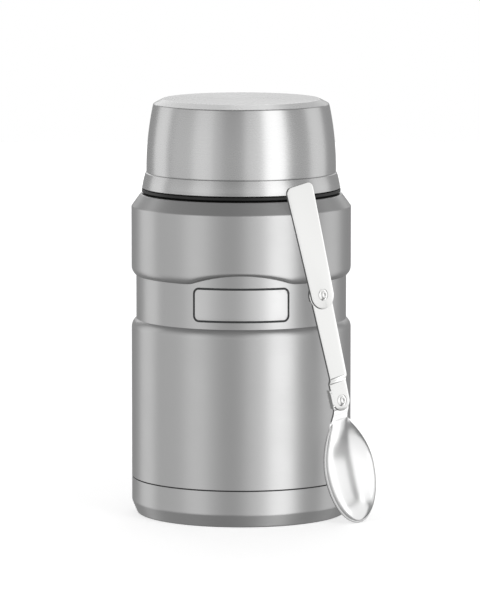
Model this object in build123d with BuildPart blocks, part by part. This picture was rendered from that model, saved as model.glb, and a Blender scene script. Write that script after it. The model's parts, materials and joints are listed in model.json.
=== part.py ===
"""Insulated steel food jar with a screw-on serving-bowl cap, a stopper and a folding spoon.

Millimetres, +Z up.  The origin is on the jar's axis, in the plane that the base rests on.
The front of the jar faces -Y.
"""

from build123d import *
from math import atan, cos, degrees, pi, radians, sin, tan
import os

os.makedirs("parts", exist_ok=True)

# ------------------------------------------------------------------ driving dimensions
steel = 0.5                     # sheet of the outer shell, the base cap and the liner
thin_steel = 0.5                # sheet of the cap's two skins
touch = 0.05                    # left between two pieces that meet and then part
look_around = 0.1               # how far from its height an edge is looked for

body_radius = 52.5              # upper band of the body
lower_band_radius = 52.5        # lower band and base cap
waist_radius = 50.25            # the recessed waist between them
mouth_height = 153.8            # flat top of the shell, on which the lid closes
mouth_radius = 48.15            # outer edge of that flat top
shoulder_height = 147.8         # where the upper band turns into the shoulder's slope
waist_top = 114.85              # lower edge of the upper band
waist_bottom = 94.0             # upper edge of the lower band
band_round_height = 4.3         # height of the rounding at the lower band's upper edge
arch_half_width = 24.0          # the upper band's lower edge arches up at the front
arch_rise = 4.45
arch_corner_round = 6.0
band_fillet = 1.9

seam_height = 17.85             # the shell's lower edge, over a narrow groove
seam_gap = 0.4
base_flat_radius = 49.9         # flat that the jar stands on
base_chamfer_height = 6.2
base_groove_radii = (40.0, 42.0)
base_groove_depth = 0.3
sleeve_bottom = 7.4             # the shell's narrower lower end, inside the base cap
seal_radius = 2.8               # solder bead that closes the evacuation hole
seal_hole_radius = 1.5
seal_bead = 0.6                 # how far the bead stands below its plate
getter_radius = 5.0
getter_height = 2.2
getter_offset = 20.0
clip_length = 26.0
clip_width = 6.0
clip_sheet = 0.5

liner_radius = 45.5             # clear radius of the food space
liner_floor = 12.8              # height of the floor that the food lies on
liner_shoulder = 126.0          # where the liner starts to narrow to its neck
neck_bottom = 131.0
neck_radius = 41.5              # clear radius of the neck
floor_round = 8.0
foil = 0.2
foil_gap = 0.3
foil_heights = (24.0, 122.0)

thread_lead = 12.0              # both threads rise this much in one turn
thread_starts = 4
thread_span = 60.0              # degrees that one thread lug covers
thread_root_width = 1.3
thread_crest_width = 0.9
thread_depth = 1.1
thread_bury = 0.3               # how far a lug's root goes into its wall
thread_gap = 0.4                # from a lug's crest to the wall that it runs along
neck_lug_heights = (146.5, 140.5)
plug_lug_heights = (145.0, 139.0)
collar_lug_heights = (164.4,)
cap_lug_heights = (162.9,)

plug_bottom = 127.5
plug_wall = 2.1
plug_chamfer = 1.2
gasket_sheet = 0.7
gasket_radius = 46.4
flange_radius = 47.5            # the black ring between the cap and the shoulder
flange_skirt = 0.7
flange_skirt_bottom = 154.7
flange_top = 156.1
flange_chamfer = 0.2
collar_radius = 41.0            # carries the cap's thread
collar_bore = 38.4
collar_top = 167.4
recess_radius = 36.3            # room for the folded spoon
recess_lead_in = 153.4
recess_floor = 146.8
recess_sheet = 1.6
grip_ribs = 24
grip_rib_radius = 0.7
grip_rib_length = 11.0

cap_top = 199.0
cap_flat_radius = 37.5
cap_rim_radius = 42.0
cap_rim_height = 196.7
cap_wall_middle = (44.5, 181.0)
cap_wall_foot = (45.3, 164.4)
cap_crease = (45.4, 163.6)      # shallow crease above the flared skirt
cap_skirt_middle = (46.55, 160.8)
cap_skirt_foot = (47.1, 158.0)
cap_bead = (47.4, 157.1)
cap_bottom = 156.4
cap_lip_radius = 45.4           # the bead is rolled in under the thread ring
cap_ring_bottom = 157.1
cap_ring_foot_radius = 46.1
cap_ring_foot_top = 159.0
cap_ring_radius = 44.4
cap_ring_cone_top = 163.6
cap_ring_top = 170.0
cap_ring_ledge = 1.1
cap_ring_ledge_radius = 40.6
cap_seal_bore = 39.3
bowl_mouth_radius = 42.9
bowl_floor_radius = 41.0
bowl_floor_height = 196.6
bowl_corner = 10.0

spoon_azimuth = 39.0            # the way that the spoon's face looks, from the jar's front
spoon_lean = 6.5                # degrees that it leans back against the shoulder
spoon_tilt = 10.5               # degrees that it tilts sideways, its handle to the left
spoon_gap = 0.2                 # between the handle's back and the shoulder's edge
lower_rivet_height = 59.5       # above the table that jar and spoon stand on
lower_rivet_side = 11.6         # to the right of the line where the handle meets the jar
link_length = 51.5              # from rivet to rivet
handle_length = 53.2            # from the upper rivet to the end
handle_end_width = 16.2
handle_lobe = 6.8
handle_corner = 3.0
spoon_sheet = 1.4
edge_round = 0.3
sheet_gap = 0.1                 # between two pieces that turn on each other
link_lobe = 6.9
link_foot = 5.0
link_upper_width = 12.0
link_lower_width = 9.6
joggle = 1.5                    # the link's lower end is set back by this
joggle_start = 9.0
joggle_end = 11.5
rivet_radius = 2.0
rivet_head_radius = 2.8
rivet_head = 1.05
rivet_head_round = 0.84
rivet_tail = 0.8
rivet_play = 0.06               # between a turning piece and the rivet's shank
neck_foot = 5.2
neck_half_widths = (4.8, 5.6, 8.0)
neck_places = (0.0, -9.0, -17.0)
neck_bend_start = -7.0
neck_bend_end = -15.0
ear_reach = 6.7                 # outer side of the stop ear, from the rivet
ear_sheet = 1.2
ear_half_height = 4.4
ear_middle = 2.0                # how far up from the rivet its middle is
ear_corner = 2.0
ear_clearance = 0.4             # from the ear's top to the handle's back when folded
bowl_half_width = 15.6
bowl_wide_place = 34.0          # widest place of the bowl, from the rivet
bowl_start = 10.5               # where the bowl's rim begins, from the rivet
bowl_tip = 60.0
bowl_depth = 8.8
bowl_sheet = 0.9
bowl_set_back = 6.2             # of the rim's plane behind the handle's back

# ------------------------------------------------------------------ worked out from them
sleeve_radius = lower_band_radius - steel
plug_radius = neck_radius - thread_depth - thread_gap
cap_ring_bore = collar_radius + thread_depth + thread_gap
gasket_bottom = mouth_height + touch
flange_bottom = gasket_bottom + gasket_sheet + touch
recess_wall = recess_radius + recess_sheet
cap_seal_bottom = collar_top + touch
cap_seal_top = cap_ring_top - cap_ring_ledge - touch


# ------------------------------------------------------------------ helpers
def half_section(*points):
    """A closed outline of (radius, height) points in the plane through the jar's axis."""
    with BuildSketch(Plane.XZ) as section:
        with BuildLine():
            Polyline(*points, close=True)
        make_face()
    return section.sketch


def thread_lug(root_radius, crest_radius):
    """One short stretch of thread rib, level, centred on the +X side of the axis."""
    start = radians(-thread_span / 2)
    start_plane = Plane((0, 0, 0), x_dir=(cos(start), sin(start), 0), z_dir=(sin(start), -cos(start), 0))
    root = thread_root_width / 2
    crest = thread_crest_width / 2
    with BuildPart() as lug:
        with BuildSketch(start_plane):
            with BuildLine():
                Polyline(
                    (root_radius, -root),
                    (crest_radius, -crest),
                    (crest_radius, crest),
                    (root_radius, root),
                    close=True,
                )
            make_face()
        revolve(axis=Axis.Z, revolution_arc=thread_span)
    return lug.part


def lug_places(radius, heights):
    """Where lugs stand so that they lie on right-hand helices of the thread's lead."""
    tilt = degrees(atan(thread_lead / (2 * pi * radius)))
    return [Location((0, 0, height), (tilt, 0, 0)) for height in heights]


def body_form(inset):
    """The body's outer form without its base cap, or with an inset the space in its steel."""
    band = body_radius - inset
    low_band = lower_band_radius - inset
    waist = waist_radius - inset
    sleeve = sleeve_radius - inset
    ledge = waist_top + 2 * inset
    band_edge = waist_bottom - band_round_height
    with BuildPart() as form:
        with BuildSketch(Plane.XZ):
            with BuildLine():
                Polyline(
                    (waist, waist_bottom - inset / 2),
                    (waist, ledge),
                    (band, ledge),
                    (band, shoulder_height - inset / 2),
                    (mouth_radius - inset / 2, mouth_height - inset),
                    (0, mouth_height - inset),
                    (0, sleeve_bottom - inset),
                    (sleeve, sleeve_bottom - inset),
                    (sleeve, seam_height + inset),
                    (low_band, seam_height + inset),
                    (low_band, band_edge),
                )
                TangentArc((low_band, band_edge), (waist, waist_bottom - inset / 2), tangent=(0, 1))
            make_face()
        revolve(axis=Axis.Z)
        add(arch_cutter(waist, ledge), mode=Mode.SUBTRACT)
    return form.part


def arch_cutter(waist, ledge):
    """What the arch takes out of the upper band: the space under a low arc, outside the waist."""
    with BuildPart() as cutter:
        with BuildSketch(Plane.XZ.offset(waist / 2)):
            with BuildLine():
                ThreePointArc((-arch_half_width, ledge), (0, ledge + arch_rise), (arch_half_width, ledge))
                Line((arch_half_width, ledge), (-arch_half_width, ledge))
            make_face()
        extrude(amount=waist)
        with Locations((0, 0, ledge)):
            Cylinder(radius=waist, height=4 * arch_rise, mode=Mode.SUBTRACT)
    return cutter.part


def bowl_half(shrink, half_length, side):
    """A quarter of an egg: half of the spoon's bowl as a solid, its rim in the XY plane."""
    with BuildPart() as half:
        Sphere(radius=1)
        scale(by=(bowl_half_width - shrink, half_length - shrink, bowl_depth - shrink))
        split(bisect_by=Plane.XY, keep=Keep.BOTTOM)
        split(bisect_by=Plane.XZ, keep=side)
    return half.part


def bowl_blank(shrink):
    """The two halves of the spoon's bowl, its tip towards -Y."""
    towards_neck = bowl_half(shrink, bowl_wide_place - bowl_start, Keep.BOTTOM)
    towards_tip = bowl_half(shrink, bowl_tip - bowl_wide_place, Keep.TOP)
    return towards_neck, towards_tip


# ------------------------------------------------------------------ the body of the jar
with BuildPart() as outer_shell:
    add(body_form(0))
    at_ledge = outer_shell.edges().filter_by_position(
        Axis.Z, waist_top - look_around, waist_top + look_around
    )
    fillet(at_ledge.filter_by(GeomType.LINE), radius=arch_corner_round)
    near_ledge = outer_shell.edges().filter_by_position(
        Axis.Z, waist_top - look_around, waist_top + arch_rise + look_around
    )
    band_lower_edge = near_ledge.filter_by(
        lambda edge: edge.position_at(0.5).cross(Vector(0, 0, 1)).length > body_radius - touch
    )
    fillet(band_lower_edge, radius=band_fillet)
    add(body_form(steel), mode=Mode.SUBTRACT)
    with Locations((0, 0, mouth_height)):
        Cylinder(radius=neck_radius + steel, height=4 * steel, mode=Mode.SUBTRACT)
    with Locations((0, 0, sleeve_bottom)):
        Cylinder(radius=sleeve_radius - steel, height=4 * steel, mode=Mode.SUBTRACT)
outer_shell.part.label = "outer_shell"
export_step(outer_shell.part, "parts/outer_shell.step")

with BuildPart() as base_cap:
    with BuildSketch(Plane.XZ):
        with BuildLine():
            Polyline(
                (lower_band_radius, base_chamfer_height),
                (base_flat_radius, 0),
                (0, 0),
                (0, steel),
                (base_flat_radius - steel / 2, steel),
                (sleeve_radius, base_chamfer_height + steel / 4),
                (sleeve_radius, seam_height - seam_gap),
                (lower_band_radius, seam_height - seam_gap),
                close=True,
            )
        make_face()
    revolve(axis=Axis.Z)
    groove_inner, groove_outer = base_groove_radii
    with BuildSketch(Plane.XY):
        Circle(radius=groove_outer)
        Circle(radius=groove_inner, mode=Mode.SUBTRACT)
    extrude(amount=base_groove_depth, mode=Mode.SUBTRACT)
base_cap.part.label = "base_cap"
export_step(base_cap.part, "parts/base_cap.step")

plate_top = sleeve_bottom + steel
with BuildPart() as bottom_plate:
    revolve(
        half_section(
            (seal_hole_radius, sleeve_bottom),
            (sleeve_radius - steel, sleeve_bottom),
            (sleeve_radius - steel, plate_top),
            (seal_hole_radius, plate_top),
        ),
        axis=Axis.Z,
    )
bottom_plate.part.label = "bottom_plate"
export_step(bottom_plate.part, "parts/bottom_plate.step")

with BuildPart() as vacuum_seal:
    revolve(
        half_section(
            (0, sleeve_bottom - seal_bead),
            (seal_hole_radius, sleeve_bottom - seal_bead),
            (seal_radius, sleeve_bottom),
            (seal_hole_radius, sleeve_bottom),
            (seal_hole_radius, plate_top),
            (0, plate_top),
        ),
        axis=Axis.Z,
    )
vacuum_seal.part.label = "vacuum_seal"
export_step(vacuum_seal.part, "parts/vacuum_seal.step")

with BuildPart() as getter_clip:
    with Locations((getter_offset, 0, plate_top)):
        Box(clip_length, clip_width, clip_sheet, align=(Align.CENTER, Align.CENTER, Align.MIN))
getter_clip.part.label = "getter_clip"
export_step(getter_clip.part, "parts/getter_clip.step")

with BuildPart() as getter:
    with Locations((getter_offset, 0, plate_top + clip_sheet)):
        Cylinder(getter_radius, getter_height, align=(Align.CENTER, Align.CENTER, Align.MIN))
getter.part.label = "getter"
export_step(getter.part, "parts/getter.step")

liner_slope = neck_bottom - liner_shoulder
with BuildPart() as inner_liner:
    revolve(
        half_section(
            (0, liner_floor - steel),
            (liner_radius + steel, liner_floor - steel),
            (liner_radius + steel, liner_shoulder + steel / 2),
            (neck_radius + steel, liner_shoulder + liner_slope + steel / 2),
            (neck_radius + steel, mouth_height),
            (neck_radius, mouth_height),
            (neck_radius, neck_bottom),
            (liner_radius, liner_shoulder),
            (liner_radius, liner_floor),
            (0, liner_floor),
        ),
        axis=Axis.Z,
    )
    outside_corner = inner_liner.edges().filter_by_position(
        Axis.Z, liner_floor - steel - touch, liner_floor - steel + touch
    )
    fillet(outside_corner.filter_by(GeomType.CIRCLE), radius=floor_round + steel)
    inside_corner = inner_liner.edges().filter_by_position(Axis.Z, liner_floor - touch, liner_floor + touch)
    fillet(inside_corner.filter_by(GeomType.CIRCLE), radius=floor_round)
    with PolarLocations(0, thread_starts):
        with Locations(*lug_places(neck_radius, neck_lug_heights)):
            add(thread_lug(neck_radius + thread_bury, neck_radius - thread_depth))
inner_liner.part.label = "inner_liner"
export_step(inner_liner.part, "parts/inner_liner.step")

foil_bottom, foil_top = foil_heights
foil_radius = liner_radius + steel + foil_gap
with BuildPart() as radiation_foil:
    revolve(
        half_section(
            (foil_radius, foil_bottom),
            (foil_radius + foil, foil_bottom),
            (foil_radius + foil, foil_top),
            (foil_radius, foil_top),
        ),
        axis=Axis.Z,
    )
radiation_foil.part.label = "radiation_foil"
export_step(radiation_foil.part, "parts/radiation_foil.step")

# ------------------------------------------------------------------ the stopper
with BuildPart() as stopper_gasket:
    revolve(
        half_section(
            (plug_radius + thread_gap, gasket_bottom),
            (gasket_radius, gasket_bottom),
            (gasket_radius, gasket_bottom + gasket_sheet),
            (plug_radius + thread_gap, gasket_bottom + gasket_sheet),
        ),
        axis=Axis.Z,
    )
stopper_gasket.part.label = "stopper_gasket"
export_step(stopper_gasket.part, "parts/stopper_gasket.step")

with BuildPart() as stopper_top:
    revolve(
        half_section(
            (0, recess_floor - recess_sheet),
            (recess_wall, recess_floor - recess_sheet),
            (recess_wall, flange_bottom),
            (flange_radius - flange_skirt, flange_bottom),
            (flange_radius - flange_skirt, flange_skirt_bottom),
            (flange_radius, flange_skirt_bottom),
            (flange_radius, flange_top - flange_chamfer),
            (flange_radius - flange_chamfer, flange_top),
            (collar_radius, flange_top),
            (collar_radius, collar_top - flange_chamfer),
            (collar_radius - flange_chamfer, collar_top),
            (collar_bore, collar_top),
            (collar_bore, recess_lead_in + collar_bore - recess_radius),
            (recess_radius, recess_lead_in),
            (recess_radius, recess_floor),
            (0, recess_floor),
        ),
        axis=Axis.Z,
    )
    with PolarLocations(0, thread_starts):
        with Locations(*lug_places(collar_radius, collar_lug_heights)):
            add(thread_lug(collar_radius - thread_bury, collar_radius + thread_depth))
    with Locations((0, 0, flange_top + grip_rib_length / 2 + touch)):
        with PolarLocations(collar_bore, grip_ribs):
            Cylinder(radius=grip_rib_radius, height=grip_rib_length)
stopper_top.part.label = "stopper_top"
export_step(stopper_top.part, "parts/stopper_top.step")

with BuildPart() as stopper_plug:
    revolve(
        half_section(
            (0, plug_bottom),
            (plug_radius - plug_chamfer, plug_bottom),
            (plug_radius, plug_bottom + plug_chamfer),
            (plug_radius, flange_bottom),
            (recess_wall, flange_bottom),
            (recess_wall, plug_bottom + plug_wall),
            (0, plug_bottom + plug_wall),
        ),
        axis=Axis.Z,
    )
    with PolarLocations(0, thread_starts):
        with Locations(*lug_places(plug_radius, plug_lug_heights)):
            add(thread_lug(plug_radius - thread_bury, plug_radius + thread_depth))
stopper_plug.part.label = "stopper_plug"
export_step(stopper_plug.part, "parts/stopper_plug.step")

with BuildPart() as stopper_foam:
    revolve(
        half_section(
            (0, plug_bottom + plug_wall),
            (recess_wall, plug_bottom + plug_wall),
            (recess_wall, recess_floor - recess_sheet),
            (0, recess_floor - recess_sheet),
        ),
        axis=Axis.Z,
    )
stopper_foam.part.label = "stopper_foam"
export_step(stopper_foam.part, "parts/stopper_foam.step")

# ------------------------------------------------------------------ the serving-bowl cap
with BuildPart() as cap_seal_ring:
    revolve(
        half_section(
            (cap_seal_bore, cap_seal_bottom),
            (cap_ring_bore - 2 * touch, cap_seal_bottom),
            (cap_ring_bore - 2 * touch, cap_seal_top),
            (cap_seal_bore, cap_seal_top),
        ),
        axis=Axis.Z,
    )
cap_seal_ring.part.label = "cap_seal_ring"
export_step(cap_seal_ring.part, "parts/cap_seal_ring.step")


def inside_of(point):
    """The inner side of the cap's skin beside a point of its outer side."""
    return (point[0] - thin_steel, point[1])


with BuildPart() as cap_shell:
    with BuildSketch(Plane.XZ):
        with BuildLine():
            Polyline((0, cap_top), (cap_flat_radius, cap_top), (cap_rim_radius, cap_rim_height))
            ThreePointArc((cap_rim_radius, cap_rim_height), cap_wall_middle, cap_wall_foot)
            Line(cap_wall_foot, cap_crease)
            ThreePointArc(cap_crease, cap_skirt_middle, cap_skirt_foot)
            Line(cap_skirt_foot, cap_bead)
            TangentArc(cap_bead, (cap_bead[0] - thin_steel, cap_bottom), tangent=(0, -1))
            Polyline(
                (cap_bead[0] - thin_steel, cap_bottom),
                (cap_lip_radius, cap_bottom),
                (cap_lip_radius, cap_ring_bottom),
                (cap_skirt_foot[0] - thin_steel, cap_ring_bottom),
                inside_of(cap_skirt_foot),
            )
            ThreePointArc(inside_of(cap_skirt_foot), inside_of(cap_skirt_middle), inside_of(cap_crease))
            Line(inside_of(cap_crease), inside_of(cap_wall_foot))
            ThreePointArc(
                inside_of(cap_wall_foot),
                inside_of(cap_wall_middle),
                (cap_rim_radius - thin_steel, cap_rim_height - thin_steel / 2),
            )
            Polyline(
                (cap_rim_radius - thin_steel, cap_rim_height - thin_steel / 2),
                (cap_flat_radius - thin_steel / 4, cap_top - thin_steel),
                (0, cap_top - thin_steel),
                (0, cap_top),
            )
        make_face()
    revolve(axis=Axis.Z)
cap_shell.part.label = "cap_shell"
export_step(cap_shell.part, "parts/cap_shell.step")

with BuildPart() as cap_thread_ring:
    revolve(
        half_section(
            (cap_ring_bore, cap_ring_bottom),
            (cap_ring_foot_radius, cap_ring_bottom),
            (cap_ring_foot_radius, cap_ring_foot_top),
            (cap_ring_radius, cap_ring_cone_top),
            (cap_ring_radius, cap_ring_top),
            (cap_ring_ledge_radius, cap_ring_top),
            (cap_ring_ledge_radius, cap_ring_top - cap_ring_ledge),
            (cap_ring_bore, cap_ring_top - cap_ring_ledge),
        ),
        axis=Axis.Z,
    )
    with PolarLocations(0, thread_starts):
        with Locations(*lug_places(cap_ring_bore, cap_lug_heights)):
            add(thread_lug(cap_ring_bore + thread_bury, cap_ring_bore - thread_depth))
cap_thread_ring.part.label = "cap_thread_ring"
export_step(cap_thread_ring.part, "parts/cap_thread_ring.step")

with BuildPart() as cap_inner_bowl:
    revolve(
        half_section(
            (bowl_mouth_radius, cap_ring_top),
            (cap_ring_radius, cap_ring_top),
            (cap_ring_radius, cap_ring_top + thin_steel),
            (bowl_mouth_radius + thin_steel, cap_ring_top + thin_steel),
            (bowl_floor_radius + thin_steel, bowl_floor_height),
            (0, bowl_floor_height),
            (0, bowl_floor_height - thin_steel),
            (bowl_floor_radius, bowl_floor_height - thin_steel),
        ),
        axis=Axis.Z,
    )
    high_edges = cap_inner_bowl.edges().filter_by(GeomType.CIRCLE).group_by(Axis.Z)
    fillet(high_edges[-1], radius=bowl_corner)
    high_edges = cap_inner_bowl.edges().filter_by_position(
        Axis.Z, bowl_floor_height - thin_steel - touch, bowl_floor_height - thin_steel + touch
    )
    fillet(high_edges.filter_by(GeomType.CIRCLE), radius=bowl_corner - thin_steel)
cap_inner_bowl.part.label = "cap_inner_bowl"
export_step(cap_inner_bowl.part, "parts/cap_inner_bowl.step")

# ------------------------------------------------------------------ the folding spoon
# The spoon's own axes: X across it, Y up it, Z out of its face.  Z = 0 is the handle's back,
# and the origin is on the lower rivet's centre line.
outward = Vector(0, -1, 0).rotate(Axis.Z, spoon_azimuth)
sideways = Vector(1, 0, 0).rotate(Axis.Z, spoon_azimuth)
lean_axis = Axis((0, 0, 0), sideways)
tilted = sideways * cos(radians(spoon_tilt)) + Vector(0, 0, 1) * sin(radians(spoon_tilt))
stand_off = body_radius + spoon_gap + (shoulder_height - lower_rivet_height) * tan(radians(spoon_lean))
spoon_plane = Plane(
    origin=outward * stand_off + sideways * lower_rivet_side + Vector(0, 0, lower_rivet_height),
    x_dir=tilted.rotate(lean_axis, -spoon_lean),
    z_dir=outward.rotate(lean_axis, -spoon_lean),
)
spoon_side_plane = Plane(origin=spoon_plane.origin, x_dir=spoon_plane.y_dir, z_dir=spoon_plane.x_dir)

link_upper_front = -sheet_gap
link_upper_back = link_upper_front - spoon_sheet
link_lower_front = link_upper_front - joggle
link_lower_back = link_upper_back - joggle
neck_front = link_lower_back - sheet_gap
neck_back = neck_front - spoon_sheet


def spoon_cylinder(place, radius, low, high, mode=Mode.ADD):
    """A cylinder square to the spoon's face, between two heights over the handle's back."""
    with Locations(spoon_plane):
        with Locations((0, place, low)):
            Cylinder(radius, high - low, align=(Align.CENTER, Align.CENTER, Align.MIN), mode=mode)


with BuildPart() as spoon_handle:
    with BuildSketch(spoon_plane) as handle_outline:
        with BuildLine():
            Polyline(
                (-handle_lobe, link_length),
                (-handle_end_width / 2, link_length + handle_length),
                (handle_end_width / 2, link_length + handle_length),
                (handle_lobe, link_length),
            )
            ThreePointArc(
                (handle_lobe, link_length), (0, link_length - handle_lobe), (-handle_lobe, link_length)
            )
        make_face()
        fillet(handle_outline.vertices().group_by(Axis.Y)[-1], radius=handle_corner)
    extrude(amount=spoon_sheet)
    handle_faces = spoon_handle.faces().sort_by(Axis(spoon_plane.origin, spoon_plane.z_dir))
    fillet(handle_faces[0].edges() + handle_faces[-1].edges(), radius=edge_round)
    spoon_cylinder(link_length, rivet_radius + rivet_play, -spoon_sheet, 2 * spoon_sheet, Mode.SUBTRACT)
spoon_handle.part.label = "spoon_handle"
export_step(spoon_handle.part, "parts/spoon_handle.step")

with BuildPart() as spoon_link:
    with BuildSketch(spoon_side_plane):
        with BuildLine():
            Polyline(
                (-2 * link_foot, link_lower_front),
                (joggle_start, link_lower_front),
                (joggle_end, link_upper_front),
                (link_length + 2 * link_lobe, link_upper_front),
                (link_length + 2 * link_lobe, link_upper_back),
                (joggle_end, link_upper_back),
                (joggle_start, link_lower_back),
                (-2 * link_foot, link_lower_back),
                close=True,
            )
        make_face()
    extrude(amount=2 * link_lobe, both=True)
    with BuildSketch(spoon_plane):
        with BuildLine():
            Polyline(
                (-link_lower_width / 2, 0),
                (-link_upper_width / 2, link_length),
                (link_upper_width / 2, link_length),
                (link_lower_width / 2, 0),
                close=True,
            )
        make_face()
        Circle(radius=link_foot)
        with Locations((0, link_length)):
            Circle(radius=link_lobe)
    extrude(amount=4 * joggle, both=True, mode=Mode.INTERSECT)
    spoon_cylinder(link_length, rivet_radius, 2 * link_upper_back, spoon_sheet, Mode.SUBTRACT)
    spoon_cylinder(0, rivet_radius + rivet_play, 2 * link_lower_back, spoon_sheet, Mode.SUBTRACT)
spoon_link.part.label = "spoon_link"
export_step(spoon_link.part, "parts/spoon_link.step")

rim_plane = Plane(
    origin=spoon_plane.from_local_coords((0, -bowl_wide_place, -bowl_set_back)),
    x_dir=spoon_plane.x_dir,
    z_dir=spoon_plane.z_dir,
)
neck_outline = list(zip(neck_half_widths, neck_places))
with BuildPart() as spoon_bowl:
    with BuildSketch(spoon_side_plane):
        with BuildLine():
            Polyline(
                (2 * neck_foot, neck_front),
                (neck_bend_start, neck_front),
                (neck_bend_end, -bowl_set_back),
                (neck_places[-1], -bowl_set_back),
                (neck_places[-1], -bowl_set_back - spoon_sheet),
                (neck_bend_end, -bowl_set_back - spoon_sheet),
                (neck_bend_start, neck_back),
                (2 * neck_foot, neck_back),
                close=True,
            )
        make_face()
    extrude(amount=2 * bowl_half_width, both=True)
    with BuildSketch(spoon_plane):
        with BuildLine():
            Polyline(
                *[(-width, place) for width, place in neck_outline],
                *[(width, place) for width, place in reversed(neck_outline)],
                close=True,
            )
        make_face()
        Circle(radius=neck_foot)
        with Locations((-ear_reach / 2, ear_middle)):
            Rectangle(ear_reach, 2 * ear_half_height)
    extrude(amount=4 * bowl_set_back, both=True, mode=Mode.INTERSECT)
    with BuildSketch(spoon_side_plane.offset(-ear_reach)) as ear_outline:
        with BuildLine():
            Polyline(
                (ear_middle - ear_half_height, neck_back),
                (ear_middle - ear_half_height, -ear_clearance),
                (ear_middle + ear_half_height, -ear_clearance),
                (ear_middle + ear_half_height, neck_back),
                close=True,
            )
        make_face()
        fillet(ear_outline.vertices().group_by(Axis.Y)[-1], radius=ear_corner)
    extrude(amount=ear_sheet)
    with Locations(rim_plane):
        add(bowl_blank(0))
        add(bowl_blank(bowl_sheet), mode=Mode.SUBTRACT)
    spoon_cylinder(0, rivet_radius + rivet_play, 2 * neck_back, 0, Mode.SUBTRACT)
spoon_bowl.part.label = "spoon_bowl"
export_step(spoon_bowl.part, "parts/spoon_bowl.step")

with BuildPart() as spoon_upper_rivet:
    spoon_cylinder(link_length, rivet_head_radius, spoon_sheet + touch, spoon_sheet + touch + rivet_head)
    head_face = spoon_upper_rivet.faces().sort_by(Axis(spoon_plane.origin, spoon_plane.z_dir))[-1]
    fillet(head_face.edges(), radius=rivet_head_round)
    spoon_cylinder(link_length, rivet_radius, link_upper_back, spoon_sheet + touch + rivet_head / 2)
    spoon_cylinder(link_length, rivet_head_radius, link_upper_back - rivet_tail, link_upper_back)
spoon_upper_rivet.part.label = "spoon_upper_rivet"
export_step(spoon_upper_rivet.part, "parts/spoon_upper_rivet.step")

with BuildPart() as spoon_lower_rivet:
    head_foot = link_lower_front + touch
    tail_head = neck_back - touch
    spoon_cylinder(0, rivet_head_radius, head_foot, head_foot + rivet_head)
    head_face = spoon_lower_rivet.faces().sort_by(Axis(spoon_plane.origin, spoon_plane.z_dir))[-1]
    fillet(head_face.edges(), radius=rivet_head_round)
    spoon_cylinder(0, rivet_radius, tail_head, head_foot + rivet_head / 2)
    spoon_cylinder(0, rivet_head_radius, tail_head - rivet_tail, tail_head)
spoon_lower_rivet.part.label = "spoon_lower_rivet"
export_step(spoon_lower_rivet.part, "parts/spoon_lower_rivet.step")
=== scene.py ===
"""Looks of an insulated food jar: steel body and cap, black stopper, riveted folding spoon.

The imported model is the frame, and every piece here is made around it, in metres.  Small sizes
are written in millimetres and multiplied by MM.
"""

import json
from math import asin, ceil, cos, pi, radians, sin, sqrt, tan

import bmesh
import bpy
from mathutils import Matrix, Vector


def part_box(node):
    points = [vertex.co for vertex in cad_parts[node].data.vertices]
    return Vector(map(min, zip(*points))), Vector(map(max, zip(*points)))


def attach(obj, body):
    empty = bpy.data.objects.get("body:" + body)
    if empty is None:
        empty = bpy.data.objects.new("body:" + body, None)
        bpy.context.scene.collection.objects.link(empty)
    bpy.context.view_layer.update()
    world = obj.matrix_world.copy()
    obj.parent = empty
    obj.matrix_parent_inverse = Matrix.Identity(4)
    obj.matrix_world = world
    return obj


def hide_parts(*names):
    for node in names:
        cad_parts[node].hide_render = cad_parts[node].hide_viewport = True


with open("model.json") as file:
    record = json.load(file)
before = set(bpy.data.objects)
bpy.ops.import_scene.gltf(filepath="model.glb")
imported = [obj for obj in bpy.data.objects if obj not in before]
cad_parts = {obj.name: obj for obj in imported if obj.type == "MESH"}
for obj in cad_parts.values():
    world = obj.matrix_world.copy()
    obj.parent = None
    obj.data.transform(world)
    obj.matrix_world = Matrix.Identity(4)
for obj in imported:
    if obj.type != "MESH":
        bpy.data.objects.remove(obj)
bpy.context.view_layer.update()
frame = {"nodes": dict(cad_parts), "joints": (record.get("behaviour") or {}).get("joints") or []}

bl_info = {
    "name": "Insulated food jar",
    "version": (1, 0, 0),
    "blender": (4, 5, 0),
    "location": "3D View > Sidebar > Food jar",
    "description": "Makes the visible pieces of a steel food jar around its packed model",
    "category": "Object",
}

MM = 0.001


# ---------------- sizes read from the frame
def reach(node):
    """How far a node reaches from the jar's axis."""
    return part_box(node)[1].x


def foot(node):
    """The height of a node's lowest point."""
    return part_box(node)[0].z


def top(node):
    """The height of a node's highest point."""
    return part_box(node)[1].z


JOINTS = {joint["name"]: joint for joint in frame["joints"]}

BODY_RADIUS = reach("outer_shell")
MOUTH_HEIGHT = top("outer_shell")
SLEEVE_FOOT = foot("outer_shell")
BASE_RADIUS = reach("base_cap")
SEAM_LOW = top("base_cap")
LINER_OUTER = reach("inner_liner")
LINER_FOOT = foot("inner_liner")
PLUG_FOOT = foot("stopper_plug")
GASKET_RADIUS = reach("stopper_gasket")
GASKET_FOOT = foot("stopper_gasket")
GASKET_TOP = top("stopper_gasket")
FLANGE_RADIUS = reach("stopper_top")
COLLAR_TOP = top("stopper_top")
RECESS_FOOT = foot("stopper_top")
RING_FOOT = foot("cap_thread_ring")
RING_TOP = top("cap_thread_ring")
SEAL_FOOT = foot("cap_seal_ring")
SEAL_TOP = top("cap_seal_ring")
SEAL_RADIUS = reach("cap_seal_ring")
CAP_FOOT = foot("cap_shell")
CAP_TOP = top("cap_shell")
BEAD_RADIUS = reach("cap_shell")
BOWL_TOP = top("cap_inner_bowl")

# ---------------- other sizes
STEEL = 0.5 * MM                # sheet of the body, base cap, liner and cap
CLEAR = 0.05 * MM               # left between two pieces of a lid

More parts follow.
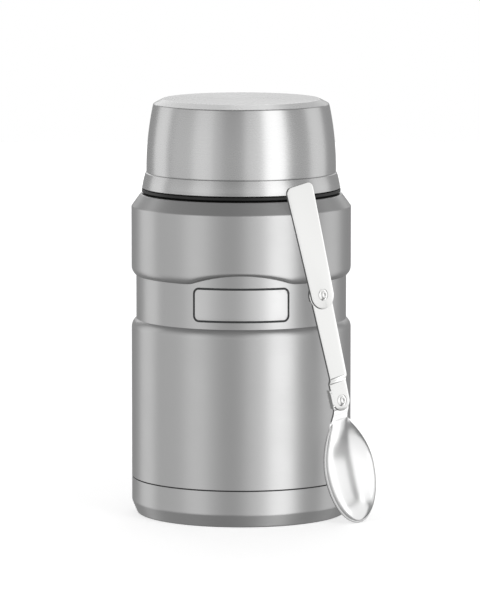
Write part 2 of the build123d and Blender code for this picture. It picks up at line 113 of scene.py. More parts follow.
# The body.  The upper band's rounding meets the waist at its top, and the lower band's at its foot.
WAIST_RADIUS = 50.25 * MM
WAIST_TOP = 114.85 * MM
WAIST_FOOT = 94.0 * MM
UPPER_ROUND = 4.2 * MM          # height of the upper rounding
LOWER_ROUND = 4.3 * MM
SHOULDER_HEIGHT = 147.8 * MM
SHOULDER_ROUND = 1.3 * MM
MOUTH_RADIUS = 48.15 * MM
MOUTH_ROUND = 0.6 * MM
ARCH_FADE = 14.0 * MM           # how far below its edge the arch stretches the wall
ARCH_FADE_ABOVE = 7.4 * MM
ARCH_SOFTNESS = 1.1 * MM        # of its two ends
SEAM_GAP = 0.5 * MM
SEAM_ROUND = 0.15 * MM
# The dark ring down in the seam paints the shade of the narrow gap.
SHADE_RING_PROUD = 0.2 * MM           # of the sleeve, down in the seam
SHADE_RING_BITE = 0.1 * MM            # into the sleeve
SHADE_RING_DEPTH = 0.4 * MM           # under the seam
BASE_CHAMFER = 6.2 * MM
BASE_FLAT = 49.9 * MM
CHAMFER_ROUND = 2.6 * MM
GROOVE_OUTER = 42.0 * MM        # of the groove under the base
GROOVE_INNER = 40.0 * MM
GROOVE_DEPTH = 0.3 * MM
NECK_RADIUS = 41.5 * MM
NECK_FOOT = 131.0 * MM
NECK_ROUND = 2.0 * MM
LINER_SHOULDER = 126.0 * MM
LINER_ROUND = 3.0 * MM
FLOOR_ROUND = 8.0 * MM

# The threads.
THREAD_DEPTH = 1.1 * MM
THREAD_BURY = 0.3 * MM
THREAD_GAP = 0.4 * MM
THREAD_ROOT = 1.3 * MM          # a rib's height at its wall, and at its crest
THREAD_CREST = 0.9 * MM
THREAD_SPACING = 6.0 * MM       # from one row of ribs down to the next
THREAD_SHARE = 60 / 360         # of a turn that one rib takes
NECK_ROWS = (146.5 * MM, 2)     # height of the top row's middle, and how many rows
PLUG_ROWS = (145.0 * MM, 2)
COLLAR_ROWS = (164.4 * MM, 1)
CAP_ROWS = (162.9 * MM, 1)

# The bare name plate.
PLATE_CORNER = 3.0 * MM
PLATE_RAISED = 1.0 * MM         # over the waist's middle
BORDER_WIDTH = 1.0 * MM         # of the black line
BORDER_SHEET = 0.1 * MM
BORDER_PROUD = 0.05 * MM        # of the waist
BORDER_STEP = 1.2 * MM          # between points along it
FIELD_INSET = 0.9 * MM          # its edge is under the black line
FIELD_SHEET = 0.08 * MM
FIELD_PROUD = 0.03 * MM
FIELD_COLUMNS = 72

# The stopper.
PLUG_RADIUS = NECK_RADIUS - THREAD_DEPTH - THREAD_GAP
PLUG_SHEET = 2.1 * MM
FLANGE_STEP = 154.7 * MM
FLANGE_TOP = 156.1 * MM
COLLAR_RADIUS = 41.0 * MM
COLLAR_BORE = 38.4 * MM
GRIP_HEIGHT = 11.0 * MM
RECESS_RADIUS = 36.3 * MM
RECESS_SHEET = 1.6 * MM
RECESS_LEAD_IN = 153.4 * MM

# The cap.  Points of its outside are (radius, height).
CAP_SKIN = 0.5 * MM
CAP_FLAT = 37.5 * MM
CAP_FLAT_ROUND = 1.2 * MM
CAP_RIM = (42.0 * MM, 196.7 * MM)
CAP_RIM_ROUND = 1.0 * MM
CAP_WALL_MIDDLE = (44.5 * MM, 181.0 * MM)
CAP_WALL_FOOT = (45.3 * MM, 164.25 * MM)
CAP_GROOVE = (0.1 * MM, 0.25 * MM)      # its bottom, in and down from the wall's foot
CAP_CREASE = (45.75 * MM, 163.65 * MM)
CAP_SKIRT_MIDDLE = (46.55 * MM, 160.8 * MM)
CAP_SKIRT_FOOT = (47.1 * MM, 158.0 * MM)
CAP_BEAD_HEIGHT = 156.8 * MM
CAP_BEAD_BORE = 45.4 * MM
RING_BORE = COLLAR_RADIUS + THREAD_DEPTH + THREAD_GAP
RING_RADIUS = 46.1 * MM
RING_WALL_TOP = 159.0 * MM
RING_NARROW = 44.4 * MM
RING_NARROW_FOOT = 163.6 * MM
RING_LEDGE_BORE = 40.6 * MM
SEAL_BORE = 39.3 * MM
BOWL_MOUTH = 42.9 * MM
BOWL_FLOOR = 41.0 * MM
BOWL_ROUND = 9.5 * MM

SHELL_STEPS = 360               # points round the shell, which the arch bends
CAP_STEPS = 288
SPIN_STEPS = 192                # points round the other turned pieces
ROUND_STEPS = 5                 # points on a rounded corner
SUPPORT = 0.25 * MM             # from a corner to the ring that keeps the wall beside it straight
MERGE = 0.001 * MM              # points closer than this are one
SHEET_MERGE = 0.02 * MM         # the same, on a bent sheet
SHARP = radians(31)             # faces that meet at more than this show a crisp edge

LINE_LENGTH = 9.0 * MM          # of an abrasive line
LINE_SHARE = 0.7                # of the lines in the steel's unevenness, where the patches have 1
RING_SHARE = 0.6                # closeness of a flat top's rings, where a wall's lines have 1
PATCH = 22.0 * MM               # of uneven polish
HAZE = 6.0 * MM
DENT = 14.0 * MM
DENT_DEPTH = 0.02 * MM
GRAIN_SWING = 0.06              # of a moulded surface's roughness


# ---------------- colours and materials
def linear(code):
    """A colour written as sRGB hex, as linear red, green, blue and alpha."""
    parts = [int(code[i : i + 2], 16) / 255 for i in (1, 3, 5)]
    return tuple(p / 12.92 if p <= 0.04045 else ((p + 0.055) / 1.055) ** 2.4 for p in parts) + (1,)


def add_node(tree, kind, inputs=(), **settings):
    """Adds a node, sets its properties, and fills its inputs with values or with links.

    The inputs are a dictionary, or the values of its first inputs in order.  A node among them
    stands for its first output.
    """
    made = tree.nodes.new(kind)
    for name, value in settings.items():
        setattr(made, name, value)
    inputs = inputs if isinstance(inputs, dict) else dict(enumerate(inputs))
    for name, value in inputs.items():
        if isinstance(value, bpy.types.Node):
            value = value.outputs[0]
        if isinstance(value, bpy.types.NodeSocket):
            tree.links.new(value, made.inputs[name])
        else:
            made.inputs[name].default_value = value
    return made


def new_material(name, colour, metallic, roughness):
    """A material with a Principled shader, its node tree and that shader."""
    material = bpy.data.materials.new(name)
    material.use_nodes = True
    tree = material.node_tree
    tree.nodes.clear()
    inputs = {"Base Color": colour, "Metallic": metallic, "Roughness": roughness}
    shader = add_node(tree, "ShaderNodeBsdfPrincipled", inputs)
    add_node(tree, "ShaderNodeOutputMaterial", {"Surface": shader})
    return material, tree, shader


def uneven(tree, shader, polish, roughness, swing, height, relief):
    """Lets a shader's roughness follow one noise, mostly 0.3 to 0.7, and its relief another."""
    inputs = {"Value": polish, "From Min": 0.3, "From Max": 0.7}
    inputs.update({"To Min": roughness - swing, "To Max": roughness + swing})
    varied = add_node(tree, "ShaderNodeMapRange", inputs)
    tree.links.new(varied.outputs["Result"], shader.inputs["Roughness"])
    bump = add_node(tree, "ShaderNodeBump", {"Strength": 1.0, "Distance": relief, "Height": height})
    tree.links.new(bump.outputs["Normal"], shader.inputs["Normal"])


def turned_coordinates(tree, length, line):
    """Coordinates that change slowly round the jar and fast along its height and its radius.

    Noise read at them makes fine lines round the walls, and rings on the flat tops.
    """
    place = add_node(tree, "ShaderNodeTexCoord").outputs["Object"]
    x, y, z = add_node(tree, "ShaderNodeSeparateXYZ", (place,)).outputs
    flat = add_node(tree, "ShaderNodeCombineXYZ", (x, y))
    radius = add_node(tree, "ShaderNodeVectorMath", (flat,), operation="LENGTH").outputs["Value"]
    across = add_node(tree, "ShaderNodeMath", (radius, RING_SHARE, z), operation="MULTIPLY_ADD")
    joined = add_node(tree, "ShaderNodeCombineXYZ", (x, y, across))
    scale = (1 / length, 1 / length, 1 / line)
    return add_node(tree, "ShaderNodeMapping", {"Vector": joined, "Scale": scale})


def turned_steel(name, colour, roughness, swing, line, relief):
    """Stainless steel sheet, spun and then polished on a lathe with a fine abrasive.

    The abrasive leaves lines round the axis, so highlights stretch along it and stay narrow
    round it.  Real lines are about 0.05 mm apart; they are drawn wider so that they show.
    """
    material, tree, shader = new_material(name, colour, 1.0, roughness)
    shader.inputs["Anisotropic"].default_value = 0.35
    shader.inputs["Anisotropic Rotation"].default_value = 0.25
    around = add_node(tree, "ShaderNodeTangent", direction_type="RADIAL", axis="Z")
    tree.links.new(around.outputs["Tangent"], shader.inputs["Tangent"])
    inputs = {"Vector": turned_coordinates(tree, LINE_LENGTH, line), "Scale": 1.0, "Detail": 3.0}
    lines = add_node(tree, "ShaderNodeTexNoise", inputs)
    place = add_node(tree, "ShaderNodeTexCoord").outputs["Object"]
    inputs = {"Vector": place, "Scale": 1 / PATCH, "Detail": 2.0}
    patches = add_node(tree, "ShaderNodeTexNoise", inputs)
    both = add_node(tree, "ShaderNodeMath", (lines, LINE_SHARE, patches), operation="MULTIPLY_ADD")
    evened = add_node(tree, "ShaderNodeMath", (both, 1 / (1 + LINE_SHARE)), operation="MULTIPLY")
    uneven(tree, shader, evened, roughness, swing, lines, relief)
    return material


def polished_steel(name, colour, roughness, swing):
    """Stainless steel tumbled to a mirror, with the faint haze and dents of handled cutlery."""
    material, tree, shader = new_material(name, colour, 1.0, roughness)
    place = add_node(tree, "ShaderNodeTexCoord").outputs["Object"]
    inputs = {"Vector": place, "Scale": 1 / HAZE, "Detail": 4.0}
    haze = add_node(tree, "ShaderNodeTexNoise", inputs)
    inputs = {"Vector": place, "Scale": 1 / DENT, "Detail": 0.0}
    dents = add_node(tree, "ShaderNodeTexNoise", inputs)
    uneven(tree, shader, haze, roughness, swing, dents, DENT_DEPTH)
    return material


def moulded(name, colour, roughness, grain, relief, shine=0.5):
    """A moulded plastic or rubber, with the fine spark-eroded grain of its mould."""
    material, tree, shader = new_material(name, colour, 0.0, roughness)
    shader.inputs["Specular IOR Level"].default_value = shine
    place = add_node(tree, "ShaderNodeTexCoord").outputs["Object"]
    inputs = {"Vector": place, "Scale": 1 / grain, "Detail": 3.0}
    dots = add_node(tree, "ShaderNodeTexNoise", inputs)
    uneven(tree, shader, dots, roughness, GRAIN_SWING, dots, relief)
    return material


def two_tone(name, dark, light, metallic, roughness, grain, relief):
    """A material whose colour wanders between two tones, as foam, foil, solder and getter do."""
    material, tree, shader = new_material(name, light, metallic, roughness)
    place = add_node(tree, "ShaderNodeTexCoord").outputs["Object"]
    inputs = {"Vector": place, "Scale": 1 / grain, "Detail": 4.0}
    cells = add_node(tree, "ShaderNodeTexNoise", inputs)
    ramp = add_node(tree, "ShaderNodeValToRGB", {"Fac": cells})
    for stop, position, colour in zip(ramp.color_ramp.elements, (0.35, 0.65), (dark, light)):
        stop.position = position
        stop.color = colour
    tree.links.new(ramp.outputs["Color"], shader.inputs["Base Color"])
    bump = add_node(tree, "ShaderNodeBump", {"Strength": 1.0, "Distance": relief, "Height": cells})
    tree.links.new(bump.outputs["Normal"], shader.inputs["Normal"])
    return material


# Each finish's maker, its colours, as sRGB hex or the name of a setting, and its other values.
FINISHES = {
    # Satin body: a soft sheen that still shows the studio's lights as broad upright bands.
    "satin_steel": (turned_steel, "steel_colour", 0.35, 0.03, 0.35 * MM, 0.004 * MM),
    # The cap is drawn from thinner sheet and finished finer, so its bands are crisper.
    "fine_satin_steel": (turned_steel, "cap_colour", 0.27, 0.015, 0.3 * MM, 0.001 * MM),
    # Electropolished inside, as food contact asks: bright, with no lines.
    "electropolished_steel": (polished_steel, "#c8c8c8", 0.2, 0.04),
    # The plate's field: brushed a little finer and lighter than the waist it sits on.
    "plate_steel": (turned_steel, "#c4c4c4", 0.38, 0.03, 0.3 * MM, 0.002 * MM),
    # The spoon's flats are buffed nearly to a mirror.
    "spoon_steel": (polished_steel, "spoon_colour", 0.25, 0.03),
    # The bowl is tumbled, not buffed as the flats are, so it is a little darker and more even.
    "tumbled_bowl_steel": (polished_steel, "#dedede", 0.24, 0.012),
    # The spoon's blanked edges stay matt as the die leaves them; their darker tone is painted shade
    # along the plates' edges.
    "blanked_edge_steel": (polished_steel, "#848484", 0.45, 0.04),
    # Electro-etched and blackened line: matt, nearly black.
    "etched_black": (moulded, "#2b2c2d", 0.55, 0.4 * MM, 0.01 * MM),
    # A dark grey ring down in the seam: painted shade of the narrow gap.
    "weld_oxide": (moulded, "#1f1f20", 0.7, 0.5 * MM, 0.01 * MM),
    # Polypropylene in satin black.
    "black_polypropylene": (moulded, "plastic_colour", 0.42, 0.35 * MM, 0.01 * MM, 0.36),
    # Black silicone: matt; its tone, darker than the plastic over it, paints the shade in the gap
    # under the flange.
    "black_silicone": (moulded, "#060606", 0.7, 0.5 * MM, 0.005 * MM, 0.1),
    # Translucent grey silicone looks matt and even.
    "grey_silicone": (moulded, "#8d8f90", 0.6, 0.5 * MM, 0.005 * MM),
    # Poured insulating foam, cream, with open cells.
    "stopper_foam_white": (two_tone, "#cfc9b4", "#e9e4d3", 0.0, 0.9, 0.9 * MM, 0.1 * MM),
    # Thin crumpled aluminium foil.
    "aluminium_foil": (two_tone, "#c6c8ca", "#dfe0e1", 1.0, 0.3, 5.0 * MM, 0.15 * MM),
    # Tin solder, frosted where it froze.
    "tin_solder": (two_tone, "#a3a4a6", "#bdbec0", 1.0, 0.45, 0.8 * MM, 0.02 * MM),
    # Pressed and sintered metal powder.
    "sintered_getter": (two_tone, "#5d5c5a", "#77756f", 0.6, 0.75, 0.4 * MM, 0.03 * MM),
}


def colour_of(code):
    """A colour from its sRGB hex, or from the setting of that name."""
    if code.startswith("#"):
        return linear(code)
    return tuple(getattr(bpy.context.scene.food_jar, code)) + (1.0,)


def material_named(name):
    """The jar's material of that name, made the first time that it is asked for."""
    if name in bpy.data.materials:
        return bpy.data.materials[name]
    maker, *values = FINISHES[name]
    values = [colour_of(value) if isinstance(value, str) else value for value in values]
    return maker(name, *values)


# ---------------- meshes
def rounded(*corners):
    """An outline of (radius, height) points.  A corner with a third number is rounded by it."""
    outline = []
    for i, corner in enumerate(corners):
        here = Vector(corner[:2])
        if len(corner) == 2:
            outline.append(here)
            continue
        before = (Vector(corners[i - 1][:2]) - here).normalized()
        after = (Vector(corners[(i + 1) % len(corners)][:2]) - here).normalized()
        half_angle = before.angle(after) / 2
        middle = here + (before + after).normalized() * corner[2] / sin(half_angle)
        start = here + before * corner[2] / tan(half_angle) - middle
        turn = start.angle_signed(here + after * corner[2] / tan(half_angle) - middle)
        for step in range(ROUND_STEPS + 1):
            outline.append(middle + Matrix.Rotation(-turn * step / ROUND_STEPS, 2) @ start)
    return outline


def arc_through(start, middle, end, steps):
    """Points on the arc from start through middle to end."""
    a, b, c = Vector(start), Vector(middle), Vector(end)
    square = a.cross(b) + b.cross(c) + c.cross(a)
    x = (a.dot(a) * (b.y - c.y) + b.dot(b) * (c.y - a.y) + c.dot(c) * (a.y - b.y)) / (2 * square)
    y = (a.dot(a) * (c.x - b.x) + b.dot(b) * (a.x - c.x) + c.dot(c) * (b.x - a.x)) / (2 * square)
    centre = Vector((x, y))
    first = a - centre
    turn = first.angle_signed(c - centre)
    return [centre + Matrix.Rotation(-turn * step / steps, 2) @ first for step in range(steps + 1)]


def arc_from_wall(wall, end, steps=8):
    """Points on the arc that leaves an upright wall smoothly at one point and ends at another."""
    across = wall[0] - end[0]
    along = end[1] - wall[1]
    radius = (across * across + along * along) / (2 * across)
    turn = asin(along / radius)
    centre = wall[0] - radius
    turns = [turn * step / steps for step in range(steps + 1)]
    return [Vector((centre + radius * cos(turn), wall[1] + radius * sin(turn))) for turn in turns]


def arc_points(x, y, radius, start, end, steps):
    """Points on a circle from one angle to another, in degrees."""
    turns = [radians(start + (end - start) * step / steps) for step in range(steps + 1)]
    return [(x + radius * cos(turn), y + radius * sin(turn)) for turn in turns]


def ring_outline(bore, radius, low, high, edge):
    """A flat ring with rounded edges."""
    return rounded((bore, low, edge), (radius, low, edge), (radius, high, edge), (bore, high, edge))


def rounded_half(half, corner, over):
    """Half the width of a rounded rectangle, at a place that far into its corner's rounding."""
    over = max(0, over)
    return half - corner + sqrt(max(0, corner * corner - over * over))


def supported(outline):
    """The outline with a point just inside each end of its long straight stretches."""
    done = []
    for here, after in zip(outline, outline[1:] + outline[:1]):
        done.append(here)
        run = after - here
        if run.length > 4 * SUPPORT and max(here.x, after.x) > SUPPORT:
            done.append(here + run.normalized() * SUPPORT)
            done.append(after - run.normalized() * SUPPORT)
    return done


def put(name, mesh):
    """An object for a mesh, in the scene, with soft shading and its sharp edges kept."""
    mesh.name = name
    mesh.shade_smooth()
    mesh.set_sharp_from_angle(angle=SHARP)
    piece = bpy.data.objects.new(name, mesh)
    bpy.context.scene.collection.objects.link(piece)
    return piece


def reworked(mesh, change):
    """A mesh after a change that bmesh makes to it."""
    work = bmesh.new()
    work.from_mesh(mesh)
    change(work)
    work.to_mesh(mesh)
    work.free()
    return mesh


def face_outwards(work):
    """Turns a closed mesh's faces outwards."""
    bmesh.ops.recalc_face_normals(work, faces=work.faces)


def mesh_of(points, faces):
    """A closed mesh with its doubles merged and its faces turned outwards."""
    mesh = bpy.data.meshes.new("made")
    mesh.from_pydata([tuple(point) for point in points], [], faces)

    def close_up(work):
        bmesh.ops.remove_doubles(work, verts=work.verts, dist=MERGE)
        face_outwards(work)

    return reworked(mesh, close_up)


def lathe(outline, steps=SPIN_STEPS):
    """The mesh of an outline turned about the jar's axis.  The outline closes on itself."""
    points = []
    rings = []
    for spot in supported(outline):
        count = 1 if spot.x < MERGE else steps
        rings.append(range(len(points), len(points) + count))
        for step in range(count):
            turn = 2 * pi * step / steps
            points.append((spot.x * cos(turn), spot.x * sin(turn), spot.y))
    faces = []
    for low, high in zip(rings, rings[1:] + rings[:1]):
        if len(low) == 1 and len(high) == 1:
            continue
        for step in range(steps):
            after = (step + 1) % steps
            if len(low) == 1:
                faces.append((low[0], high[after], high[step]))
            elif len(high) == 1:
                faces.append((low[step], low[after], high[0]))
            else:
                faces.append((low[step], low[after], high[after], high[step]))
    return mesh_of(points, faces)


def plate(outline, low, high, edge):
    """A flat plate with that outline between two heights, its edges rounded."""
    count = len(outline)
    points = [(x, y, z) for z in (low, high) for x, y in outline]
    flats = [tuple(range(count)), tuple(range(count, 2 * count))]
    sides = [(i, (i + 1) % count, count + (i + 1) % count, count + i) for i in range(count)]

    def round_edges(work):
        rims = [line for line in work.edges if any(len(face.verts) > 4 for face in line.link_faces)]
        bmesh.ops.bevel(work, geom=rims, offset=edge, segments=3, profile=0.5, affect="EDGES")

    return reworked(mesh_of(points, flats + sides), round_edges)


def sheet_metal(rows, thickness, edge):
    """A bent sheet: a grid of points, given a thickness, and its edges rounded.

    Seen so that the rows run down and each runs to the right, the sheet thickens towards the
    viewer.
    """
    across = len(rows[0])
    faces = [
        (r * across + c, r * across + c + 1, (r + 1) * across + c + 1, (r + 1) * across + c)
        for r in range(len(rows) - 1)
        for c in range(across - 1)
    ]
    mesh = bpy.data.meshes.new("sheet")
    mesh.from_pydata([tuple(point) for row in rows for point in row], [], faces)
    reworked(mesh, lambda work: bmesh.ops.remove_doubles(work, verts=work.verts, dist=SHEET_MERGE))
    holder = bpy.data.objects.new("sheet", mesh)
    bpy.context.scene.collection.objects.link(holder)
    wall = holder.modifiers.new("wall", "SOLIDIFY")
    wall.thickness = thickness
    wall.offset = -1
    wall.use_even_offset = True
    round_edge = holder.modifiers.new("round", "BEVEL")
    round_edge.width = edge
    round_edge.segments = 3
    round_edge.limit_method = "ANGLE"
    round_edge.angle_limit = radians(50)
    return baked(holder)


def baked(holder):
    """The mesh that an object's modifiers make.  The object is removed."""
    seen = holder.evaluated_get(bpy.context.evaluated_depsgraph_get())
    mesh = bpy.data.meshes.new_from_object(seen)
    bpy.data.objects.remove(holder)
    return mesh


def grown(tree, base, values):
    """The mesh that a Geometry Nodes tree makes of a base mesh with those inputs."""
    holder = bpy.data.objects.new("rule", base or bpy.data.meshes.new("rule"))
    modifier = holder.modifiers.new("rule", "NODES")
    modifier.node_group = tree
    for socket in tree.interface.items_tree:
        if socket.name in values:
            modifier[socket.identifier] = values[socket.name]
    bpy.context.scene.collection.objects.link(holder)
    return baked(holder)


def new_rule(name, sizes):
    """A Geometry Nodes tree with a geometry input, named inputs for its sizes, and an output."""
    tree = bpy.data.node_groups.new(name, "GeometryNodeTree")
    kinds = {size: "Int" if size in ("Starts", "Rows", "Ribs") else "Float" for size in sizes}
    for socket, kind in {"Geometry": "Geometry", **kinds, "Material": "Material"}.items():
        tree.interface.new_socket(socket, in_out="INPUT", socket_type="NodeSocket" + kind)
    tree.interface.new_socket("Geometry", in_out="OUTPUT", socket_type="NodeSocketGeometry")
    return tree, tree.nodes.new("NodeGroupInput").outputs


def end_rule(tree, geometry, material):
    """Ends a tree as the export needs it: real geometry with its material."""
    real = add_node(tree, "GeometryNodeRealizeInstances", {"Geometry": geometry})
    inputs = {"Geometry": real, "Material": material}
    painted = add_node(tree, "GeometryNodeSetMaterial", inputs)
    add_node(tree, "NodeGroupOutput", {"Geometry": painted})
    return tree


def copies(tree, count, places, rotation, shape):
    """Copies of one shape at numbered places, each turned."""
    points = add_node(tree, "GeometryNodePoints", {"Count": count, "Position": places})
    inputs = {"Points": points, "Instance": shape, "Rotation": rotation}
    return add_node(tree, "GeometryNodeInstanceOnPoints", inputs)


def numbered_turn(tree, count):
    """The angle of each numbered place, evenly spaced round a turn by that count."""
    number = add_node(tree, "GeometryNodeInputIndex")
    step = add_node(tree, "ShaderNodeMath", (2 * pi, count), operation="DIVIDE")
    return add_node(tree, "ShaderNodeMath", (number, step), operation="MULTIPLY")


def arched_band_rule():
    """Raises the upper band's lower edge at the front, along a low arc with soft ends."""
    names = ["Half Width", "Rise", "Softness", "Edge Height", "Fade", "Fade Above"]
    tree, sizes = new_rule("arched_band", names)
    half, rise, edge = sizes["Half Width"], sizes["Rise"], sizes["Edge Height"]
    place = add_node(tree, "GeometryNodeInputPosition")
    x, y, z = add_node(tree, "ShaderNodeSeparateXYZ", (place,)).outputs
    # The arc's radius, and its height over its ends at this place across.
    half_squared = add_node(tree, "ShaderNodeMath", (half, half), operation="MULTIPLY")
    squares = add_node(tree, "ShaderNodeMath", (rise, rise, half_squared), operation="MULTIPLY_ADD")
    twice = add_node(tree, "ShaderNodeMath", (rise, 2.0), operation="MULTIPLY")
    radius = add_node(tree, "ShaderNodeMath", (squares, twice), operation="DIVIDE")
    radius_squared = add_node(tree, "ShaderNodeMath", (radius, radius), operation="MULTIPLY")
    x_squared = add_node(tree, "ShaderNodeMath", (x, x), operation="MULTIPLY")
    rest = add_node(tree, "ShaderNodeMath", (radius_squared, x_squared), operation="SUBTRACT")
    rest = add_node(tree, "ShaderNodeMath", (rest, 0.0), operation="MAXIMUM")
    height = add_node(tree, "ShaderNodeMath", (rest,), operation="SQRT")
    under = add_node(tree, "ShaderNodeMath", (height, radius), operation="SUBTRACT")
    arc = add_node(tree, "ShaderNodeMath", (under, rise), operation="ADD")
    lift = add_node(tree, "ShaderNodeMath", (arc, 0.0, sizes["Softness"]), operation="SMOOTH_MAX")
    # A smooth maximum is a little over zero where both sides are near: only near the ends.
    at_front = add_node(tree, "ShaderNodeMath", (y, 0.0), operation="LESS_THAN")
    lift = add_node(tree, "ShaderNodeMath", (lift, at_front), operation="MULTIPLY")
    # Above the edge the lift ends sooner, which draws the rounding together under the arch.
    for fade, operation in ((sizes["Fade"], "SUBTRACT"), (sizes["Fade Above"], "ADD")):
        end = add_node(tree, "ShaderNodeMath", (edge, fade), operation=operation)
        inputs = {"Value": z, "From Min": end, "From Max": edge}
        share = add_node(tree, "ShaderNodeMapRange", inputs)
        lift = add_node(tree, "ShaderNodeMath", (lift, share), operation="MULTIPLY")
    offset = add_node(tree, "ShaderNodeCombineXYZ", {"Z": lift})
    inputs = {"Geometry": sizes["Geometry"], "Offset": offset}
    return end_rule(tree, add_node(tree, "GeometryNodeSetPosition", inputs), sizes["Material"])


def thread_rule():
    """Short ribs of a right-hand thread: several starts round the axis, in rows."""
    names = ["Radius", "Lead", "Share", "Starts", "Rows", "Spacing", "Height", "Depth"]
    tree, sizes = new_rule("thread_ribs", names + ["Root", "Crest", "Facing"])
    radius, share, starts = sizes["Radius"], sizes["Share"], sizes["Starts"]
    # One rib: a trapezoid along a piece of a spiral, which starts at the angle 0.
    climb = add_node(tree, "ShaderNodeMath", (sizes["Lead"], share), operation="MULTIPLY")
    inputs = {"Resolution": 144, "Rotations": share, "Height": climb, "Reverse": True}
    inputs.update({"Start Radius": radius, "End Radius": radius})
    path = add_node(tree, "GeometryNodeCurveSpiral", inputs)
    upright = add_node(tree, "GeometryNodeSetCurveNormal", {"Curve": path}, mode="Z_UP")
    inputs = {"Height": sizes["Depth"], "Bottom Width": sizes["Root"], "Top Width": sizes["Crest"]}
    inputs["Offset"] = 0.0
    profile = add_node(tree, "GeometryNodeCurvePrimitiveQuadrilateral", inputs, mode="TRAPEZOID")
    facing = add_node(tree, "ShaderNodeCombineXYZ", {"Z": sizes["Facing"]})
    inputs = {"Geometry": profile, "Rotation": facing}
    turned = add_node(tree, "GeometryNodeTransform", inputs)
    inputs = {"Curve": upright, "Profile Curve": turned, "Fill Caps": True}
    rib = add_node(tree, "GeometryNodeCurveToMesh", inputs)
    # Turned back by half its angle and lowered by half its climb, it is centred on its place.
    inputs = {"Geometry": rib}
    for name, value, half in (("Rotation", share, -pi), ("Translation", climb, -0.5)):
        moved = add_node(tree, "ShaderNodeMath", (value, half), operation="MULTIPLY")
        inputs[name] = add_node(tree, "ShaderNodeCombineXYZ", {"Z": moved})
    centred = add_node(tree, "GeometryNodeTransform", inputs)
    number = add_node(tree, "GeometryNodeInputIndex")
    row = add_node(tree, "ShaderNodeMath", (number, starts), operation="DIVIDE")
    row = add_node(tree, "ShaderNodeMath", (row,), operation="FLOOR")
    fall = add_node(tree, "ShaderNodeMath", (row, sizes["Spacing"]), operation="MULTIPLY")
    height = add_node(tree, "ShaderNodeMath", (sizes["Height"], fall), operation="SUBTRACT")
    place = add_node(tree, "ShaderNodeCombineXYZ", {"Z": height})
    turn = add_node(tree, "ShaderNodeCombineXYZ", {"Z": numbered_turn(tree, starts)})
    count = add_node(tree, "ShaderNodeMath", (starts, sizes["Rows"]), operation="MULTIPLY")
    return end_rule(tree, copies(tree, count, place, turn, centred), sizes["Material"])


def rib_rule():
    """Round upright ribs, evenly spaced round the axis."""
    tree, sizes = new_rule("grip_ribs", ["Ribs", "Radius", "Rib Radius", "Low", "High"])
    low, high = sizes["Low"], sizes["High"]
    length = add_node(tree, "ShaderNodeMath", (high, low), operation="SUBTRACT")
    inputs = {"Vertices": 12, "Radius": sizes["Rib Radius"], "Depth": length}
    rib = add_node(tree, "GeometryNodeMeshCylinder", inputs)
    both = add_node(tree, "ShaderNodeMath", (high, low), operation="ADD")
    inputs = {"Z": add_node(tree, "ShaderNodeMath", (both, 0.5), operation="MULTIPLY")}
    turn = numbered_turn(tree, sizes["Ribs"])
    for axis, operation in (("X", "COSINE"), ("Y", "SINE")):
        part = add_node(tree, "ShaderNodeMath", (turn,), operation=operation)
        part = add_node(tree, "ShaderNodeMath", (sizes["Radius"], part), operation="MULTIPLY")
        inputs[axis] = part
    place = add_node(tree, "ShaderNodeCombineXYZ", inputs)
    return end_rule(tree, copies(tree, sizes["Ribs"], place, (0, 0, 0), rib), sizes["Material"])


def finished(name, mesh, material, body, slot, *nodes):
    """Puts a mesh in the scene as a piece of a body, standing for those CAD nodes."""
    piece = put(name, mesh)
    piece.data.materials.clear()
    piece.data.materials.append(material_named(material))
    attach(piece, body)
    if nodes:
        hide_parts(*nodes)
    if slot == "spoon_steel":
        for group, state in (("spoon_only", "INCLUDE"), ("all_but_spoon", "EXCLUDE")):
            light_group(group).objects.link(piece)
            light_group(group).collection_objects[-1].light_linking.link_state = state
        # The brushed body is too soft a mirror to show the spoon as a sharp dark double.
        piece.visible_glossy = False
    return piece


def dress(node, material):
    """Gives a CAD node that stays its material."""
    mesh = frame["nodes"][node].data
    mesh.materials.clear()
    mesh.materials.append(material_named(material))


def thread(name, radius, facing, rows, material, body, slot):
    """One piece's thread.

    Facing is 1 where it stands out from its wall and -1 where it points in.
    """
    look = bpy.context.scene.food_jar
    height, count = rows
    tree = bpy.data.node_groups.get("thread_ribs") or thread_rule()
    mesh = grown(
        tree,
        None,
        {
            "Radius": radius + facing * (THREAD_DEPTH - THREAD_BURY) / 2,
            "Lead": look.thread_lead,
            "Share": THREAD_SHARE,
            "Starts": look.thread_starts,
            "Rows": count,
            "Spacing": THREAD_SPACING,
            "Height": height,
            "Depth": THREAD_DEPTH + THREAD_BURY,
            "Root": THREAD_ROOT,
            "Crest": THREAD_CREST,
            "Facing": facing * pi / 2,
            "Material": material_named(material),
        },
    )
    return finished(name, reworked(mesh, face_outwards), material, body, slot)


